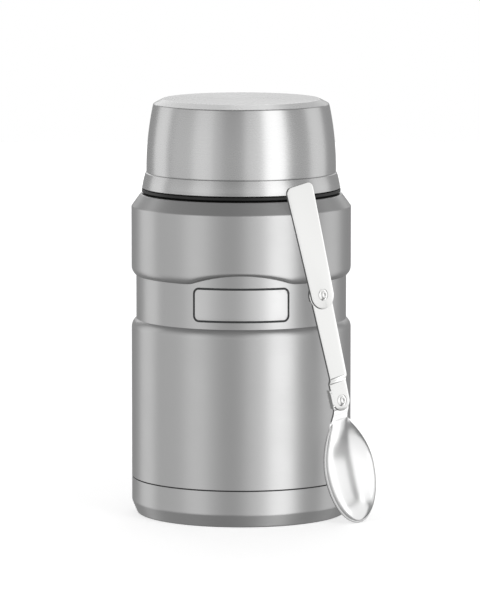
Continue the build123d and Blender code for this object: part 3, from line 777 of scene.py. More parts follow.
# ---------------- settings
class JarSettings(bpy.types.PropertyGroup):
    """What a user would change on the jar."""

    arch_rise: bpy.props.FloatProperty(
        name="Arch rise", description="How far the band's lower edge rises at the front",
        default=4.45 * MM, min=0, max=10 * MM, unit="LENGTH",
    )
    arch_half_width: bpy.props.FloatProperty(
        name="Arch half width", description="From the arch's middle to either end",
        default=24.0 * MM, min=5 * MM, max=40 * MM, unit="LENGTH",
    )
    plate_width: bpy.props.FloatProperty(
        name="Plate width", description="Width of the bare name plate on the waist",
        default=47.0 * MM, min=10 * MM, max=60 * MM, unit="LENGTH",
    )
    plate_height: bpy.props.FloatProperty(
        name="Plate height", description="Height of the bare name plate",
        default=16.4 * MM, min=5 * MM, max=18 * MM, unit="LENGTH",
    )
    thread_lead: bpy.props.FloatProperty(
        name="Thread lead", description="How far a lid rises in one turn",
        default=12.0 * MM, min=2 * MM, max=20 * MM, unit="LENGTH",
    )
    thread_starts: bpy.props.IntProperty(
        name="Thread starts", description="Ribs side by side round each thread",
        default=4, min=1, max=8,
    )
    grip_ribs: bpy.props.IntProperty(
        name="Grip ribs", description="Ribs inside the stopper's collar",
        default=24, min=6, max=60,
    )
    steel_colour: bpy.props.FloatVectorProperty(
        name="Steel", description="Colour of the body", subtype="COLOR", size=3,
        default=linear("#b6b6b6")[:3], min=0, max=1,
    )
    cap_colour: bpy.props.FloatVectorProperty(
        name="Cap", description="Colour of the cap's steel skin", subtype="COLOR", size=3,
        default=linear("#c1c1c1")[:3], min=0, max=1,
    )
    spoon_colour: bpy.props.FloatVectorProperty(
        name="Spoon", description="Colour of the polished spoon", subtype="COLOR", size=3,
        default=linear("#ebebeb")[:3], min=0, max=1,
    )
    plastic_colour: bpy.props.FloatVectorProperty(
        name="Plastic", description="Colour of the stopper", subtype="COLOR", size=3,
        default=linear("#101010")[:3], min=0, max=1,
    )


# ---------------- the steel body
def body_outline():
    """The outer shell from its sleeve in the base cap up to the mouth, and back down inside."""
    sleeve = BASE_RADIUS - STEEL
    wall = BODY_RADIUS - STEEL
    inner = sleeve - STEEL
    waist = WAIST_RADIUS - STEEL
    seam = SEAM_LOW + SEAM_GAP
    low_end = WAIST_FOOT - LOWER_ROUND
    high_end = WAIST_TOP + UPPER_ROUND
    outside = rounded(
        (inner, SLEEVE_FOOT),
        (sleeve, SLEEVE_FOOT),
        (sleeve, seam),
        (BASE_RADIUS, seam, SEAM_ROUND),
        (BASE_RADIUS, low_end),
    )[:-1]
    outside += arc_from_wall((BASE_RADIUS, low_end), (WAIST_RADIUS, WAIST_FOOT))
    outside += reversed(arc_from_wall((BODY_RADIUS, high_end), (WAIST_RADIUS, WAIST_TOP)))
    outside += rounded(
        (BODY_RADIUS, high_end),
        (BODY_RADIUS, SHOULDER_HEIGHT, SHOULDER_ROUND),
        (MOUTH_RADIUS, MOUTH_HEIGHT, MOUTH_ROUND),
        (NECK_RADIUS + STEEL, MOUTH_HEIGHT),
        (NECK_RADIUS + STEEL, MOUTH_HEIGHT - STEEL),
        (MOUTH_RADIUS - STEEL / 2, MOUTH_HEIGHT - STEEL),
        (wall, SHOULDER_HEIGHT - STEEL / 2),
    )[1:]
    inside = arc_from_wall((wall, high_end), (waist, WAIST_TOP + STEEL / 2))
    inside += reversed(arc_from_wall((sleeve, low_end), (waist, WAIST_FOOT - STEEL / 2)))
    inside += rounded((sleeve, seam + STEEL), (inner, seam + STEEL))
    return outside + inside


def base_outline():
    """The base cap: a dish with a chamfered edge and a shallow groove under it."""
    sleeve = BASE_RADIUS - STEEL
    return rounded(
        (sleeve, SEAM_LOW),
        (BASE_RADIUS, SEAM_LOW, SEAM_ROUND),
        (BASE_RADIUS, BASE_CHAMFER, CHAMFER_ROUND),
        (BASE_FLAT, 0, 0.9 * MM),
        (GROOVE_OUTER, 0),
        (GROOVE_OUTER, GROOVE_DEPTH),
        (GROOVE_INNER, GROOVE_DEPTH),
        (GROOVE_INNER, 0),
        (0, 0),
        (0, STEEL),
        (BASE_FLAT - STEEL / 2, STEEL, 0.5 * MM),
        (sleeve, BASE_CHAMFER + STEEL / 4, CHAMFER_ROUND - STEEL),
    )


def liner_outline():
    """The liner: a deep cup with a neck, seen when the stopper is out."""
    inner = LINER_OUTER - STEEL
    floor = LINER_FOOT + STEEL
    return rounded(
        (0, LINER_FOOT),
        (LINER_OUTER, LINER_FOOT, FLOOR_ROUND + STEEL),
        (LINER_OUTER, LINER_SHOULDER + STEEL / 2, LINER_ROUND),
        (NECK_RADIUS + STEEL, NECK_FOOT + STEEL / 2, NECK_ROUND),
        (NECK_RADIUS + STEEL, MOUTH_HEIGHT - STEEL),
        (NECK_RADIUS + STEEL, MOUTH_HEIGHT),
        (NECK_RADIUS, MOUTH_HEIGHT, 0.2 * MM),
        (NECK_RADIUS, NECK_FOOT, NECK_ROUND),
        (inner, LINER_SHOULDER, LINER_ROUND),
        (inner, floor, FLOOR_ROUND),
        (0, floor),
    )


class FOODJAR_OT_body(bpy.types.Operator):
    """Make the jar's outer shell, base cap and liner, and finish the pieces between them"""

    bl_idname = "food_jar.body"
    bl_label = "Steel body"

    def execute(self, context):
        look = context.scene.food_jar
        satin = "satin_steel"
        bright = "electropolished_steel"
        shell = grown(
            arched_band_rule(),
            lathe(body_outline(), SHELL_STEPS),
            {
                "Half Width": look.arch_half_width,
                "Rise": look.arch_rise,
                "Softness": ARCH_SOFTNESS,
                "Edge Height": WAIST_TOP,
                "Fade": ARCH_FADE,
                "Fade Above": ARCH_FADE_ABOVE,
                "Material": material_named(satin),
            },
        )
        finished("body_shell", shell, satin, "jar", "body_steel", "outer_shell")
        finished("body_base", lathe(base_outline()), satin, "jar", "body_steel", "base_cap")
        sleeve = BASE_RADIUS - STEEL
        # A dark grey ring down in the seam paints the shade of the narrow gap.
        shade_ring = ring_outline(
            sleeve - SHADE_RING_BITE,
            sleeve + SHADE_RING_PROUD,
            SEAM_LOW - SHADE_RING_DEPTH,
            SEAM_LOW + SEAM_GAP,
            0.05 * MM,
        )
        finished("seam_weld", lathe(shade_ring), "weld_oxide", "jar", "black_plastic")
        liner = lathe(liner_outline())
        finished("food_liner", liner, bright, "jar", "liner_steel", "inner_liner")
        thread("neck_thread", NECK_RADIUS, -1, NECK_ROWS, bright, "jar", "liner_steel")
        dress("bottom_plate", bright)
        dress("vacuum_seal", "tin_solder")
        dress("getter_clip", bright)
        dress("getter", "sintered_getter")
        dress("radiation_foil", "aluminium_foil")
        return {"FINISHED"}


# ---------------- the bare name plate
def wrapped(across, height, radius):
    """A flat drawing's point, wrapped round the waist at the front."""
    turn = across / radius
    return Vector((radius * sin(turn), -radius * cos(turn), height))


def plate_stretch(half_width, half_height, corner, middle, radius):
    """Rows of points that fill a rounded rectangle wrapped round the waist."""
    rows = []
    for column in range(FIELD_COLUMNS + 1):
        across = -half_width * cos(pi * column / FIELD_COLUMNS)
        half = rounded_half(half_height, corner, abs(across) - (half_width - corner))
        rows.append([wrapped(across, middle + half * step / 4, radius) for step in range(-4, 5)])
    return rows


def plate_line(half_width, half_height, corner, width, middle, radius):
    """Rows of points along a line of even width round a rounded rectangle."""
    path = []
    for x_side, y_side, start in ((1, 1, 0), (-1, 1, 90), (-1, -1, 180), (1, -1, 270)):
        centre = Vector((x_side * (half_width - corner), y_side * (half_height - corner)))
        path += [(centre, Vector(way)) for way in arc_points(0, 0, 1, start, start + 90, 12)]
    spots = []
    for (centre, out), (next_centre, next_out) in zip(path, path[1:] + path[:1]):
        here = centre + out * corner
        run = next_centre + next_out * corner - here
        pieces = ceil(run.length / BORDER_STEP)
        spots += [(here + run * piece / pieces, out) for piece in range(pieces)]
    spots.append(spots[0])
    rows = []
    for spot, out in spots:
        pair = (spot, spot - out * width)
        rows.append([wrapped(point.x, middle + point.y, radius) for point in pair])
    return rows


class FOODJAR_OT_plate(bpy.types.Operator):
    """Put the bare name plate on the waist: a lighter field in an etched black line"""

    bl_idname = "food_jar.plate"
    bl_label = "Bare name plate"

    def execute(self, context):
        look = context.scene.food_jar
        width = look.plate_width / 2
        height = look.plate_height / 2
        middle = (WAIST_TOP + WAIST_FOOT) / 2 + PLATE_RAISED
        radius = WAIST_RADIUS + BORDER_PROUD
        border = plate_line(width, height, PLATE_CORNER, BORDER_WIDTH, middle, radius)
        mesh = sheet_metal(border, BORDER_SHEET, 0.015 * MM)
        finished("plate_line", mesh, "etched_black", "jar", "black_plastic")
        inner = (width - FIELD_INSET, height - FIELD_INSET, PLATE_CORNER - FIELD_INSET)
        field = plate_stretch(*inner, middle, WAIST_RADIUS + FIELD_PROUD)
        mesh = sheet_metal(field, FIELD_SHEET, 0.01 * MM)
        finished("plate_field", mesh, "plate_steel", "jar", "body_steel")
        return {"FINISHED"}


# ---------------- the stopper
def stopper_outline():
    """The stopper's top: flange with its skirt, threaded collar, and the recess for the spoon."""
    wall = RECESS_RADIUS + RECESS_SHEET
    flange_foot = GASKET_TOP + CLEAR
    step = FLANGE_RADIUS - 0.7 * MM
    return rounded(
        (0, RECESS_FOOT),
        (wall, RECESS_FOOT, 0.4 * MM),
        (wall, flange_foot),
        (step, flange_foot),
        (step, FLANGE_STEP),
        (FLANGE_RADIUS, FLANGE_STEP, 0.2 * MM),
        (FLANGE_RADIUS, FLANGE_TOP, 0.3 * MM),
        (COLLAR_RADIUS, FLANGE_TOP, 0.4 * MM),
        (COLLAR_RADIUS, COLLAR_TOP, 0.5 * MM),
        (COLLAR_BORE, COLLAR_TOP, 0.5 * MM),
        (COLLAR_BORE, RECESS_LEAD_IN + COLLAR_BORE - RECESS_RADIUS),
        (RECESS_RADIUS, RECESS_LEAD_IN, 0.8 * MM),
        (RECESS_RADIUS, RECESS_FOOT + RECESS_SHEET, 2.0 * MM),
        (0, RECESS_FOOT + RECESS_SHEET),
    )


def plug_outline():
    """The lower stopper shell."""
    wall = RECESS_RADIUS + RECESS_SHEET
    floor = PLUG_FOOT + PLUG_SHEET
    return rounded(
        (0, PLUG_FOOT),
        (PLUG_RADIUS, PLUG_FOOT, 1.6 * MM),
        (PLUG_RADIUS, GASKET_TOP + CLEAR),
        (wall, GASKET_TOP + CLEAR),
        (wall, floor),
        (0, floor),
    )


class FOODJAR_OT_stopper(bpy.types.Operator):
    """Make the black stopper with its thread, gasket and grip ribs"""

    bl_idname = "food_jar.stopper"
    bl_label = "Stopper"

    def execute(self, context):
        black = "black_polypropylene"
        slot = "black_plastic"
        crown = lathe(stopper_outline())
        finished("stopper_crown", crown, black, "stopper", slot, "stopper_top")
        thread("collar_thread", COLLAR_RADIUS, 1, COLLAR_ROWS, black, "stopper", slot)
        ribs = grown(
            rib_rule(),
            None,
            {
                "Ribs": context.scene.food_jar.grip_ribs,
                "Radius": COLLAR_BORE,
                "Rib Radius": 0.7 * MM,
                "Low": FLANGE_TOP + CLEAR,
                "High": FLANGE_TOP + CLEAR + GRIP_HEIGHT,
                "Material": material_named(black),
            },
        )
        finished("grip_ribs", ribs, black, "stopper", slot)
        finished("stopper_cup", lathe(plug_outline()), black, "stopper", slot, "stopper_plug")
        thread("plug_thread", PLUG_RADIUS, 1, PLUG_ROWS, black, "stopper", slot)
        bore = PLUG_RADIUS + THREAD_GAP
        gasket = lathe(ring_outline(bore, GASKET_RADIUS, GASKET_FOOT, GASKET_TOP, 0.2 * MM))
        # The gasket's near-black tone paints the shade in the gap under the stopper's flange.
        silicone = "black_silicone"
        finished("mouth_gasket", gasket, silicone, "stopper_seal", "seal_rubber", "stopper_gasket")
        dress("stopper_foam", "stopper_foam_white")
        return {"FINISHED"}


# ---------------- the cap
def cap_outline():
    """The cap's outer skin, from the middle of its flat top down to the rolled bead and back."""
    top_edge = rounded(
        (0, CAP_TOP),
        (CAP_FLAT, CAP_TOP, CAP_FLAT_ROUND),
        (*CAP_RIM, CAP_RIM_ROUND),
        CAP_WALL_MIDDLE,
    )[:-1]
    wall = arc_through(CAP_RIM, CAP_WALL_MIDDLE, CAP_WALL_FOOT, 16)[1:]
    groove = [Vector(CAP_WALL_FOOT) - Vector(CAP_GROOVE)]
    skirt = arc_through(CAP_CREASE, CAP_SKIRT_MIDDLE, CAP_SKIRT_FOOT, 8)
    bead = rounded(
        CAP_SKIRT_FOOT,
        (BEAD_RADIUS, CAP_BEAD_HEIGHT, 0.3 * MM),
        (BEAD_RADIUS - 0.25 * MM, CAP_FOOT, 0.2 * MM),
        (CAP_BEAD_BORE, CAP_FOOT, 0.2 * MM),
        (CAP_BEAD_BORE, RING_FOOT),
        (CAP_SKIRT_FOOT[0] - CAP_SKIN, RING_FOOT),
    )[1:]
    back = [
        Vector((spot.x - CAP_SKIN, spot.y))
        for spot in reversed(wall + skirt)
        if spot.y < CAP_RIM[1] - CAP_SKIN
    ]
    ceiling = rounded((CAP_FLAT - CAP_SKIN / 4, CAP_TOP - CAP_SKIN), (0, CAP_TOP - CAP_SKIN))
    return top_edge + wall + groove + skirt + bead + back + ceiling


def ring_inside_outline():
    """The black ring between the cap's skins, which carries its thread."""
    ledge = SEAL_TOP + CLEAR
    return rounded(
        (RING_BORE, RING_FOOT, 0.4 * MM),
        (RING_RADIUS, RING_FOOT),
        (RING_RADIUS, RING_WALL_TOP),
        (RING_NARROW, RING_NARROW_FOOT),
        (RING_NARROW, RING_TOP),
        (RING_LEDGE_BORE, RING_TOP, 0.3 * MM),
        (RING_LEDGE_BORE, ledge, 0.3 * MM),
        (RING_BORE, ledge),
    )


def bowl_outline():
    """The cap's inner bowl, upside down while the cap is on."""
    lip = RING_TOP + CAP_SKIN
    ceiling = BOWL_TOP - CAP_SKIN
    return rounded(
        (BOWL_MOUTH, RING_TOP, 0.2 * MM),
        (RING_NARROW, RING_TOP),
        (RING_NARROW, lip),
        (BOWL_MOUTH + CAP_SKIN, lip, 0.3 * MM),
        (BOWL_FLOOR + CAP_SKIN, BOWL_TOP, BOWL_ROUND + CAP_SKIN),
        (0, BOWL_TOP),
        (0, ceiling),
        (BOWL_FLOOR, ceiling, BOWL_ROUND),
    )


class FOODJAR_OT_cap(bpy.types.Operator):
    """Make the screw-on cap that serves as a bowl"""

    bl_idname = "food_jar.cap"
    bl_label = "Cap"

    def execute(self, context):
        black = "black_polypropylene"
        bright = "electropolished_steel"
        skin = lathe(cap_outline(), CAP_STEPS)
        finished("cap_skin", skin, "fine_satin_steel", "cap", "body_steel", "cap_shell")
        bowl = lathe(bowl_outline())
        finished("serving_bowl", bowl, bright, "cap", "liner_steel", "cap_inner_bowl")
        ring = lathe(ring_inside_outline())
        finished("cap_ring", ring, black, "cap", "black_plastic", "cap_thread_ring")
        thread("cap_thread", RING_BORE, -1, CAP_ROWS, black, "cap", "black_plastic")
        seal = lathe(ring_outline(SEAL_BORE, SEAL_RADIUS, SEAL_FOOT, SEAL_TOP, 0.4 * MM))
        finished("cap_seal", seal, "grey_silicone", "cap_seal", "seal_rubber", "cap_seal_ring")
        return {"FINISHED"}


# ---------------- the folding spoon
def spoon_place():
    """From the spoon's own axes to the frame: X across it, Y up it, Z out of its face."""
    lower = Vector(JOINTS["link_fold"]["pos_m"])
    upper = Vector(JOINTS["handle_fold"]["pos_m"])
    face = Vector(JOINTS["handle_fold"]["axis"])
    up = (upper - lower).normalized()
    turn = Matrix((up.cross(face), up, face)).transposed()
    return Matrix.Translation(lower) @ turn.to_4x4()


LINK_LENGTH = (Vector(JOINTS["handle_fold"]["pos_m"]) - Vector(JOINTS["link_fold"]["pos_m"])).length
HANDLE_LENGTH = 53.2 * MM       # from the upper rivet
SHEET = 1.4 * MM                # of the handle and the link
LAP = 0.1 * MM                  # left between two laps of the spoon
JOGGLE = 1.5 * MM               # how far the link's foot is set back
JOGGLE_START = 8.6 * MM         # from the lower rivet
JOGGLE_END = 11.9 * MM
JOGGLE_CUTS = 12

# Heights out of the spoon's face, over the handle's back.
LINK_FRONT = -LAP
LINK_BACK = LINK_FRONT - SHEET
NECK_FRONT = LINK_BACK - JOGGLE - LAP
BOWL_RIM = -6.2 * MM
EAR_CREST = -0.4 * MM

# The bowl, measured inside.  Its places are up the spoon from the lower rivet.
NECK_END = 5.2 * MM
NECK_END_RADIUS = 5.0 * MM
NECK_LEVEL = -3.2 * MM          # the neck is level down to here
NECK_SUNK = -10.0 * MM          # and has sunk to the bowl's rim here
BOWL_START = -9.0 * MM
BOWL_WIDE = -34.0 * MM
BOWL_TIP = -59.02 * MM
BOWL_SHEET = 0.9 * MM
BOWL_DEPTH = 7.7 * MM
BOWL_HALF_WIDTH = 14.65 * MM
BOWL_FLATNESS = 2.4             # a higher power makes the bowl's floor flatter
BOWL_STEEPNESS = 0.72           # a lower power makes its sides steeper
THROAT_STEEPNESS = 1.1          # the same, towards the neck
TIP_FLATNESS = 2.1              # of the rim's line round the tip
BOWL_COLUMNS = 40
BOWL_ROWS = 72

# Half widths from the lower rivet down to the bowl's widest place, both in millimetres.
SPOON_PLAN = (
    (0.0, 5.0),
    (4.5, 4.6),
    (7.5, 4.6),
    (10.0, 5.2),
    (12.5, 6.55),
    (16.0, 8.95),
    (22.0, 12.05),
    (28.0, 13.95),
    (34.0, 14.65),
)

# The ear that stops the link.
EAR_MIDDLE = 2.0 * MM           # up the spoon from the rivet
EAR_REACH = 6.7 * MM            # from the spoon's middle line out to its outer side
EAR_ROOT = 3.0 * MM             # the same, where it starts under the rivet
EAR_SHEET = 1.2 * MM
EAR_BEND = 0.4 * MM
EAR_HALF_WIDTH = 4.4 * MM
EAR_CORNER = 2.0 * MM

# The rivets.
RIVET_PLAY = 0.05 * MM          # between a head and the sheet under it
RIVET_SHANK = 2.0 * MM
RIVET_HEAD = 2.8 * MM
RIVET_DOME = 1.05 * MM
RIVET_TAIL = 0.8 * MM
RIVET_DIMPLE = 0.75 * MM
RIVET_STEPS = 48
EDGE_ON = 0.35                  # a side that faces the front less than this is a cut edge


def handle_outline():
    """The handle's plate: a round lobe at the rivet, and a wider end with rounded corners."""
    half = 8.1 * MM
    corner = 3.0 * MM
    end = LINK_LENGTH + HANDLE_LENGTH
    return (
        arc_points(0, LINK_LENGTH, 6.8 * MM, 180, 360, 24)
        + arc_points(half - corner, end - corner, corner, 0, 90, 6)
        + arc_points(-half + corner, end - corner, corner, 90, 180, 6)
    )


def link_outline():
    """The link's plate: a wide lobe under the handle's rivet and a narrow foot."""
    lobe = arc_points(0, LINK_LENGTH, 6.9 * MM, -30, 210, 28)
    return lobe + arc_points(0, 0, 4.95 * MM, 176, 364, 22)


def smooth_step(value, low, high):
    """0 up to low, 1 from high on, and a smooth rise between them."""
    share = min(max((value - low) / (high - low), 0), 1)
    return share * share * (3 - 2 * share)


def joggled(mesh):
    """The link's plate with its foot set back by one bend and a second one, both rounded."""

    def set_back(work):
        for cut in range(JOGGLE_CUTS + 1):
            height = JOGGLE_START + (JOGGLE_END - JOGGLE_START) * cut / JOGGLE_CUTS
            bmesh.ops.bisect_plane(
                work,
                geom=list(work.verts) + list(work.edges) + list(work.faces),
                plane_co=(0, height, 0),
                plane_no=(0, 1, 0),
            )
        for vertex in work.verts:
            vertex.co.z -= JOGGLE * (1 - smooth_step(vertex.co.y, JOGGLE_START, JOGGLE_END))

    return reworked(mesh, set_back)


def bowl_half_width(y):
    """Half the width of the neck and bowl at a place along the spoon."""
    if y > 0:
        return rounded_half(NECK_END_RADIUS, NECK_END_RADIUS, y)
    if y < BOWL_WIDE:
        share = min((BOWL_WIDE - y) / (BOWL_WIDE - BOWL_TIP), 1)
        return BOWL_HALF_WIDTH * (1 - share**TIP_FLATNESS) ** 0.5
    return MM * smooth_between(SPOON_PLAN, -y / MM)


def spoon_row(y):
    """One row of points across the neck or the bowl, on the side that faces the front."""
    half = bowl_half_width(y)
    rim = NECK_FRONT + (BOWL_RIM - NECK_FRONT) * smooth_step(y, NECK_LEVEL, NECK_SUNK)
    share = (BOWL_WIDE - y) / (BOWL_WIDE - BOWL_TIP)
    steepness = BOWL_STEEPNESS
    if y > BOWL_WIDE:
        share = (y - BOWL_WIDE) / (BOWL_START - BOWL_WIDE)
        steepness = THROAT_STEEPNESS
    depth = BOWL_DEPTH * (1 - min(share, 1) ** BOWL_FLATNESS) ** steepness
    row = []
    for column in range(BOWL_COLUMNS + 1):
        across = -cos(pi * column / BOWL_COLUMNS)
        sunk = depth * (1 - abs(across) ** BOWL_FLATNESS) ** BOWL_STEEPNESS
        row.append(Vector((across * half, y, rim - sunk)))
    return row


def smooth_between(spots, place):
    """A smooth curve through (place, value) spots, read at one place."""
    last = len(spots) - 1
    i = max(i for i in range(last) if spots[i][0] <= place)
    (x0, y0), (x1, y1) = spots[i], spots[i + 1]
    before = spots[max(i - 1, 0)]
    after = spots[min(i + 2, last)]
    slope0 = (y1 - before[1]) / (x1 - before[0])
    slope1 = (after[1] - y0) / (after[0] - x0) if i + 2 <= last else 0
    run = x1 - x0
    t = (place - x0) / run
    return (
        (2 * t**3 - 3 * t**2 + 1) * y0
        + (t**3 - 2 * t**2 + t) * run * slope0
        + (3 * t**2 - 2 * t**3) * y1
        + (t**3 - t**2) * run * slope1
    )


def bowl_rows():
    """Rows from the bowl's tip to the neck's round end, closer together where it turns fast."""
    places = [NECK_END * cos(pi / 2 * step / 8) for step in range(8)]
    places += [BOWL_START * step / 12 for step in range(12)]
    shares = [(1 - cos(pi * step / BOWL_ROWS)) / 2 for step in range(BOWL_ROWS + 1)]
    places += [BOWL_START + (BOWL_TIP - BOWL_START) * share for share in shares]
    return [spoon_row(y) for y in reversed(places)]


def ear_rows():
    """Rows along the stop ear: out from under the rivet, round a bend, and up beside the link."""
    side = EAR_SHEET - EAR_REACH
    bend = NECK_FRONT + EAR_BEND
    path = [(-EAR_ROOT, NECK_FRONT)]
    path += arc_points(side + EAR_BEND, bend, EAR_BEND, 270, 180, 4)
    path += [(side, bend + (EAR_CREST - bend) * step / 10) for step in range(1, 11)]
    rows = []
    for x, z in path:
        half = rounded_half(EAR_HALF_WIDTH, EAR_CORNER, z - (EAR_CREST - EAR_CORNER))
        rows.append([Vector((x, EAR_MIDDLE + half * step / 6, z)) for step in range(-6, 7)])
    return rows


def rivet_outline(low, high):
    """A rivet with a shank, a domed head with a small dimple, and a flatter tail."""
    crown = high + RIVET_DOME
    under = rounded(
        (0, low - RIVET_TAIL),
        (RIVET_HEAD, low - RIVET_TAIL, 0.35 * MM),
        (RIVET_HEAD, low),
        (RIVET_SHANK, low),
        (RIVET_SHANK, high),
        (RIVET_HEAD, high),
    )
    head = arc_through(
        (RIVET_HEAD, high + 0.25 * MM),
        (RIVET_HEAD * 0.72, high + RIVET_DOME * 0.78),
        (RIVET_DIMPLE * 1.5, crown),
        8,
    )
    dimple = [(RIVET_DIMPLE, 0.06 * MM), (RIVET_DIMPLE * 0.6, 0.2 * MM), (0, 0.26 * MM)]
    return under + head + [Vector((radius, crown - deep)) for radius, deep in dimple]


def placed(mesh, lift=0.0):
    """A mesh moved from the spoon's own axes to its place, up the spoon by lift first."""
    mesh.transform(spoon_place() @ Matrix.Translation((0, lift, 0)))
    return mesh


def edge_shade_finish(piece, along):
    """Gives a piece's outer cut edges a matt steel, darker than its faces as painted shade along
    them.  Its middle is that far up the spoon.
    """
    face = Vector(JOINTS["handle_fold"]["axis"])
    middle = spoon_place() @ Vector((0, along, 0))
    # The darker matt steel on the outer cut edges paints the shade along them.
    piece.data.materials.append(material_named("blanked_edge_steel"))
    for side in piece.data.polygons:
        if abs(side.normal.dot(face)) < EDGE_ON and side.normal.dot(side.center - middle) > 0:
            side.material_index = 1


class FOODJAR_OT_spoon(bpy.types.Operator):
    """Make the folding spoon: handle, joggled link, bowl with its stop ear, and two rivets"""

    bl_idname = "food_jar.spoon"
    bl_label = "Folding spoon"

    def execute(self, context):
        steel = "spoon_steel"
        tumbled = "tumbled_bowl_steel"
        handle = plate(handle_outline(), 0, SHEET, 0.3 * MM)
        link = joggled(plate(link_outline(), LINK_BACK, LINK_FRONT, 0.25 * MM))
        bowl = sheet_metal(bowl_rows(), BOWL_SHEET, 0.3 * MM)
        grip_middle = LINK_LENGTH + HANDLE_LENGTH / 2
        for name, mesh, finish, body, node, along in (
            ("spoon_grip_plate", handle, steel, "spoon_grip", "spoon_handle", grip_middle),
            ("spoon_middle_plate", link, steel, "spoon_middle", "spoon_link", LINK_LENGTH / 2),
            ("spoon_scoop", bowl, tumbled, "spoon_end", "spoon_bowl", BOWL_WIDE),
        ):
            edge_shade_finish(finished(name, placed(mesh), finish, body, steel, node), along)
        ear = placed(sheet_metal(ear_rows(), EAR_SHEET, 0.25 * MM))
        finished("spoon_stop", ear, steel, "spoon_end", steel)
        upper = rivet_outline(LINK_BACK, SHEET + RIVET_PLAY)
        neck_back = NECK_FRONT - BOWL_SHEET
        lower = rivet_outline(neck_back - RIVET_PLAY, LINK_FRONT - JOGGLE + RIVET_PLAY)
        for name, outline, lift, body, node in (
            ("upper_rivet", upper, LINK_LENGTH, "spoon_middle", "spoon_upper_rivet"),
            ("lower_rivet", lower, 0.0, "spoon_pin", "spoon_lower_rivet"),
        ):
            rivet = placed(lathe(outline, RIVET_STEPS), lift)
            finished(name, rivet, steel, body, steel, node)
        return {"FINISHED"}


# ---------------- the stage
RENDER_HEIGHT = 600             # in pixels
AXIS_OFFSET = 1.23              # how many pixels the jar's axis stands right of the middle
CAMERA_DISTANCE = 2.375         # from the jar's axis
CAMERA_HEIGHT = 0.390
CAMERA_PITCH = 6.91             # degrees down
CAMERA_PIXELS = 4991            # focal length in pixels
SENSOR = 36.0
FLOOR_RADIUS = 2.0
FLOOR_DROP = 0.05 * MM          # the floor is that far under the jar, so that they don't coincide
FLOOR_GLOW = 0.52               # added to the floor for the camera only
MIRRORED_WHITE = 0.25           # how much of the white surroundings the steel mirrors
CARD_DISTANCE = 2.4
CARD_TARGET = Vector((0, 0, 0.1))

# The soft cards: the pieces each is for, its name, azimuth, elevation and spread in degrees, its
# height in metres and its brightness.  Azimuth 0 is the camera's side, and it grows to the right.
CARDS = (
    ("everything", "fill_left", -48, 0, 26, 3.8, 0.34),
    ("everything", "fill_wide", -58, 0, 70, 3.8, 0.2),
    ("everything", "edge_left", -117, 0, 30, 3.0, 0.6),
    ("everything", "edge_right", 108, 0, 32, 3.0, 0.5),
    ("all_but_spoon", "key_right", 42, 0, 28, 5.4, 1.0),
    ("all_but_spoon", "key_wide", 33, 0, 58, 5.4, 0.45),
    ("all_but_spoon", "back_left", -170, 38, 36, 2.7, 0.84),
    ("all_but_spoon", "back_right", 160, 38, 30, 2.7, 0.5),
    ("spoon_only", "spoon_card", 79, 10, 36, 1.6, 0.68),
    ("spoon_only", "spoon_top", 70, 60, 90, 2.4, 0.85),
    ("spoon_only", "spoon_front", 0, -12, 84, 5.4, 0.85),
    ("spoon_only", "spoon_low", 116, -40, 50, 1.4, 0.75),
    ("spoon_only", "spoon_side", 107, 0, 24, 4.0, 0.55),
)


def softbox(name, azimuth, elevation, spread, height, brightness):
    """A soft light that faces the jar, as bright as a white wall times its brightness."""
    data = bpy.data.lights.new(name, "AREA")
    data.shape = "RECTANGLE"
    data.size = 2 * CARD_DISTANCE * tan(radians(spread / 2))
    data.size_y = height
    data.energy = pi * data.size * data.size_y * brightness
    light = bpy.data.objects.new(name, data)
    light.visible_camera = False
    bpy.context.scene.collection.objects.link(light)
    turn = radians(azimuth)
    rise = radians(elevation)
    way = Vector((sin(turn) * cos(rise), -cos(turn) * cos(rise), sin(rise)))
    light.location = CARD_TARGET + way * CARD_DISTANCE
    light.rotation_euler = (-way).to_track_quat("-Z", "Y").to_euler()
    return light


def light_group(name):
    """A group that says which pieces a light is for."""
    return bpy.data.collections.get(name) or bpy.data.collections.new(name)


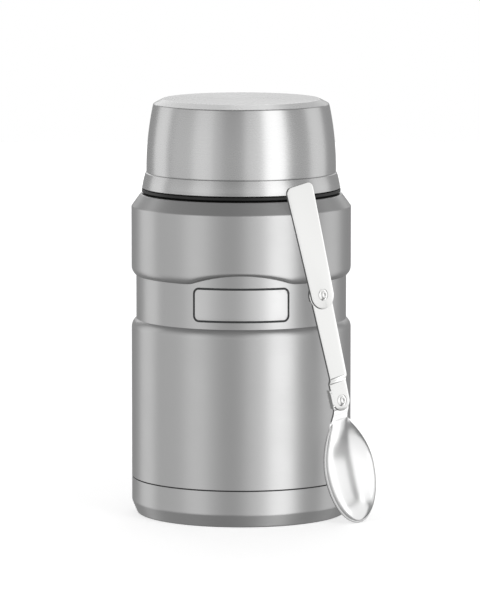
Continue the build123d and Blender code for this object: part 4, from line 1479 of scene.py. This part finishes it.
def studio_world():
    """A pale studio: white to the camera, and grey, darker over and under, to the rest."""
    world = bpy.data.worlds.new("studio")
    world.use_nodes = True
    tree = world.node_tree
    tree.nodes.clear()
    way = add_node(tree, "ShaderNodeTexCoord").outputs["Generated"]
    parts = add_node(tree, "ShaderNodeSeparateXYZ", (way,)).outputs
    inputs = {"Value": parts["Z"], "From Min": -1.0, "From Max": 1.0}
    height = add_node(tree, "ShaderNodeMapRange", inputs)
    ramp = add_node(tree, "ShaderNodeValToRGB", {"Fac": height})
    ramp.color_ramp.interpolation = "EASE"
    stops = ramp.color_ramp.elements
    stops[0].color = linear("#929292")
    stops[1].color = linear("#969696")
    stops.new(0.5).color = linear("#bebebe")
    # The back of the studio is dimmer than its front.
    inputs = {"Value": parts["Y"], "From Min": 0.3, "From Max": 0.95}
    inputs.update({"To Min": 1.0, "To Max": 0.56})
    share = add_node(tree, "ShaderNodeMapRange", inputs)
    grey = add_node(tree, "ShaderNodeBackground", {"Color": ramp, "Strength": share})
    white = add_node(tree, "ShaderNodeBackground", {"Color": linear("#ffffff"), "Strength": 1.0})
    ray = add_node(tree, "ShaderNodeLightPath").outputs
    inputs = (ray["Is Camera Ray"], ray["Is Transmission Ray"])
    direct = add_node(tree, "ShaderNodeMath", inputs, operation="MAXIMUM")
    # Steel mirrors a part of the white too, most at its own level and in front.
    level = add_node(tree, "ShaderNodeMath", (parts["Z"],), operation="ABSOLUTE")
    level = add_node(tree, "ShaderNodeMath", (level, -1.6, 1.0), operation="MULTIPLY_ADD")
    level = add_node(tree, "ShaderNodeMath", (level, 0.0), operation="MAXIMUM")
    for factor in (share, MIRRORED_WHITE, ray["Is Glossy Ray"]):
        level = add_node(tree, "ShaderNodeMath", (level, factor), operation="MULTIPLY")
    whiteness = add_node(tree, "ShaderNodeMath", (direct, level), operation="MAXIMUM")
    mixed = add_node(tree, "ShaderNodeMixShader", (whiteness, grey, white))
    add_node(tree, "ShaderNodeOutputWorld", {"Surface": mixed})
    bpy.context.scene.world = world


def floor_paint():
    """The floor's pale paint: nearly white to the camera, and it keeps a soft shadow."""
    material = bpy.data.materials.new("pale_floor")
    material.use_nodes = True
    tree = material.node_tree
    tree.nodes.clear()
    matt = add_node(tree, "ShaderNodeBsdfDiffuse", {"Color": linear("#f4f4f4")})
    seen = add_node(tree, "ShaderNodeLightPath").outputs["Is Camera Ray"]
    strength = add_node(tree, "ShaderNodeMath", (seen, FLOOR_GLOW), operation="MULTIPLY")
    inputs = {"Color": linear("#ffffff"), "Strength": strength}
    glow = add_node(tree, "ShaderNodeEmission", inputs)
    both = add_node(tree, "ShaderNodeAddShader", (matt, glow))
    add_node(tree, "ShaderNodeOutputMaterial", {"Surface": both})
    return material


class FOODJAR_OT_stage(bpy.types.Operator):
    """Set the camera, the pale floor, the studio's surroundings and its soft lights"""

    bl_idname = "food_jar.stage"
    bl_label = "Stage and camera"

    def execute(self, context):
        scene = context.scene
        data = bpy.data.cameras.new("camera")
        data.sensor_fit = "VERTICAL"
        data.sensor_height = SENSOR
        data.lens = CAMERA_PIXELS * SENSOR / RENDER_HEIGHT
        data.shift_x = -AXIS_OFFSET / RENDER_HEIGHT
        camera = bpy.data.objects.new("camera", data)
        scene.collection.objects.link(camera)
        camera.location = (0, -CAMERA_DISTANCE, CAMERA_HEIGHT)
        camera.rotation_euler = (radians(90 - CAMERA_PITCH), 0, 0)
        scene.camera = camera
        scene.view_settings.view_transform = "Standard"

        # Round and no wider than the cards light it evenly, so that its edge can't be seen.
        rim = arc_points(0, 0, FLOOR_RADIUS, 0, 355, 71)
        mesh = bpy.data.meshes.new("floor")
        mesh.from_pydata([(x, y, -FLOOR_DROP) for x, y in rim], [], [range(len(rim))])
        mesh.materials.append(floor_paint())
        floor = bpy.data.objects.new("floor", mesh)
        scene.collection.objects.link(floor)
        # Polished steel would mirror it as a broad pale band, which a real floor's falloff hides.
        floor.visible_glossy = False
        floor.visible_shadow = False

        studio_world()
        for group, *card in CARDS:
            light = softbox(*card)
            if group != "everything":
                light.light_linking.receiver_collection = light_group(group)
        return {"FINISHED"}


class FOODJAR_PT_panel(bpy.types.Panel):
    """The jar's sizes and colours, and a button for each group of pieces"""

    bl_idname = "FOODJAR_PT_panel"
    bl_label = "Food jar"
    bl_space_type = "VIEW_3D"
    bl_region_type = "UI"
    bl_category = "Food jar"

    def draw(self, context):
        for setting in JarSettings.__annotations__:
            self.layout.prop(context.scene.food_jar, setting)
        for group in GROUPS:
            self.layout.operator(group.bl_idname)


GROUPS = (
    FOODJAR_OT_stage,
    FOODJAR_OT_body,
    FOODJAR_OT_plate,
    FOODJAR_OT_stopper,
    FOODJAR_OT_cap,
    FOODJAR_OT_spoon,
)
CLASSES = (JarSettings,) + GROUPS + (FOODJAR_PT_panel,)


def register():
    for each in CLASSES:
        bpy.utils.register_class(each)
    bpy.types.Scene.food_jar = bpy.props.PointerProperty(type=JarSettings)


def unregister():
    del bpy.types.Scene.food_jar
    for each in reversed(CLASSES):
        bpy.utils.unregister_class(each)


def main():
    register()
    bpy.ops.food_jar.stage()
    bpy.ops.food_jar.body()
    bpy.ops.food_jar.plate()
    bpy.ops.food_jar.stopper()
    bpy.ops.food_jar.cap()
    bpy.ops.food_jar.spoon()


if __name__ == "__main__":
    main()
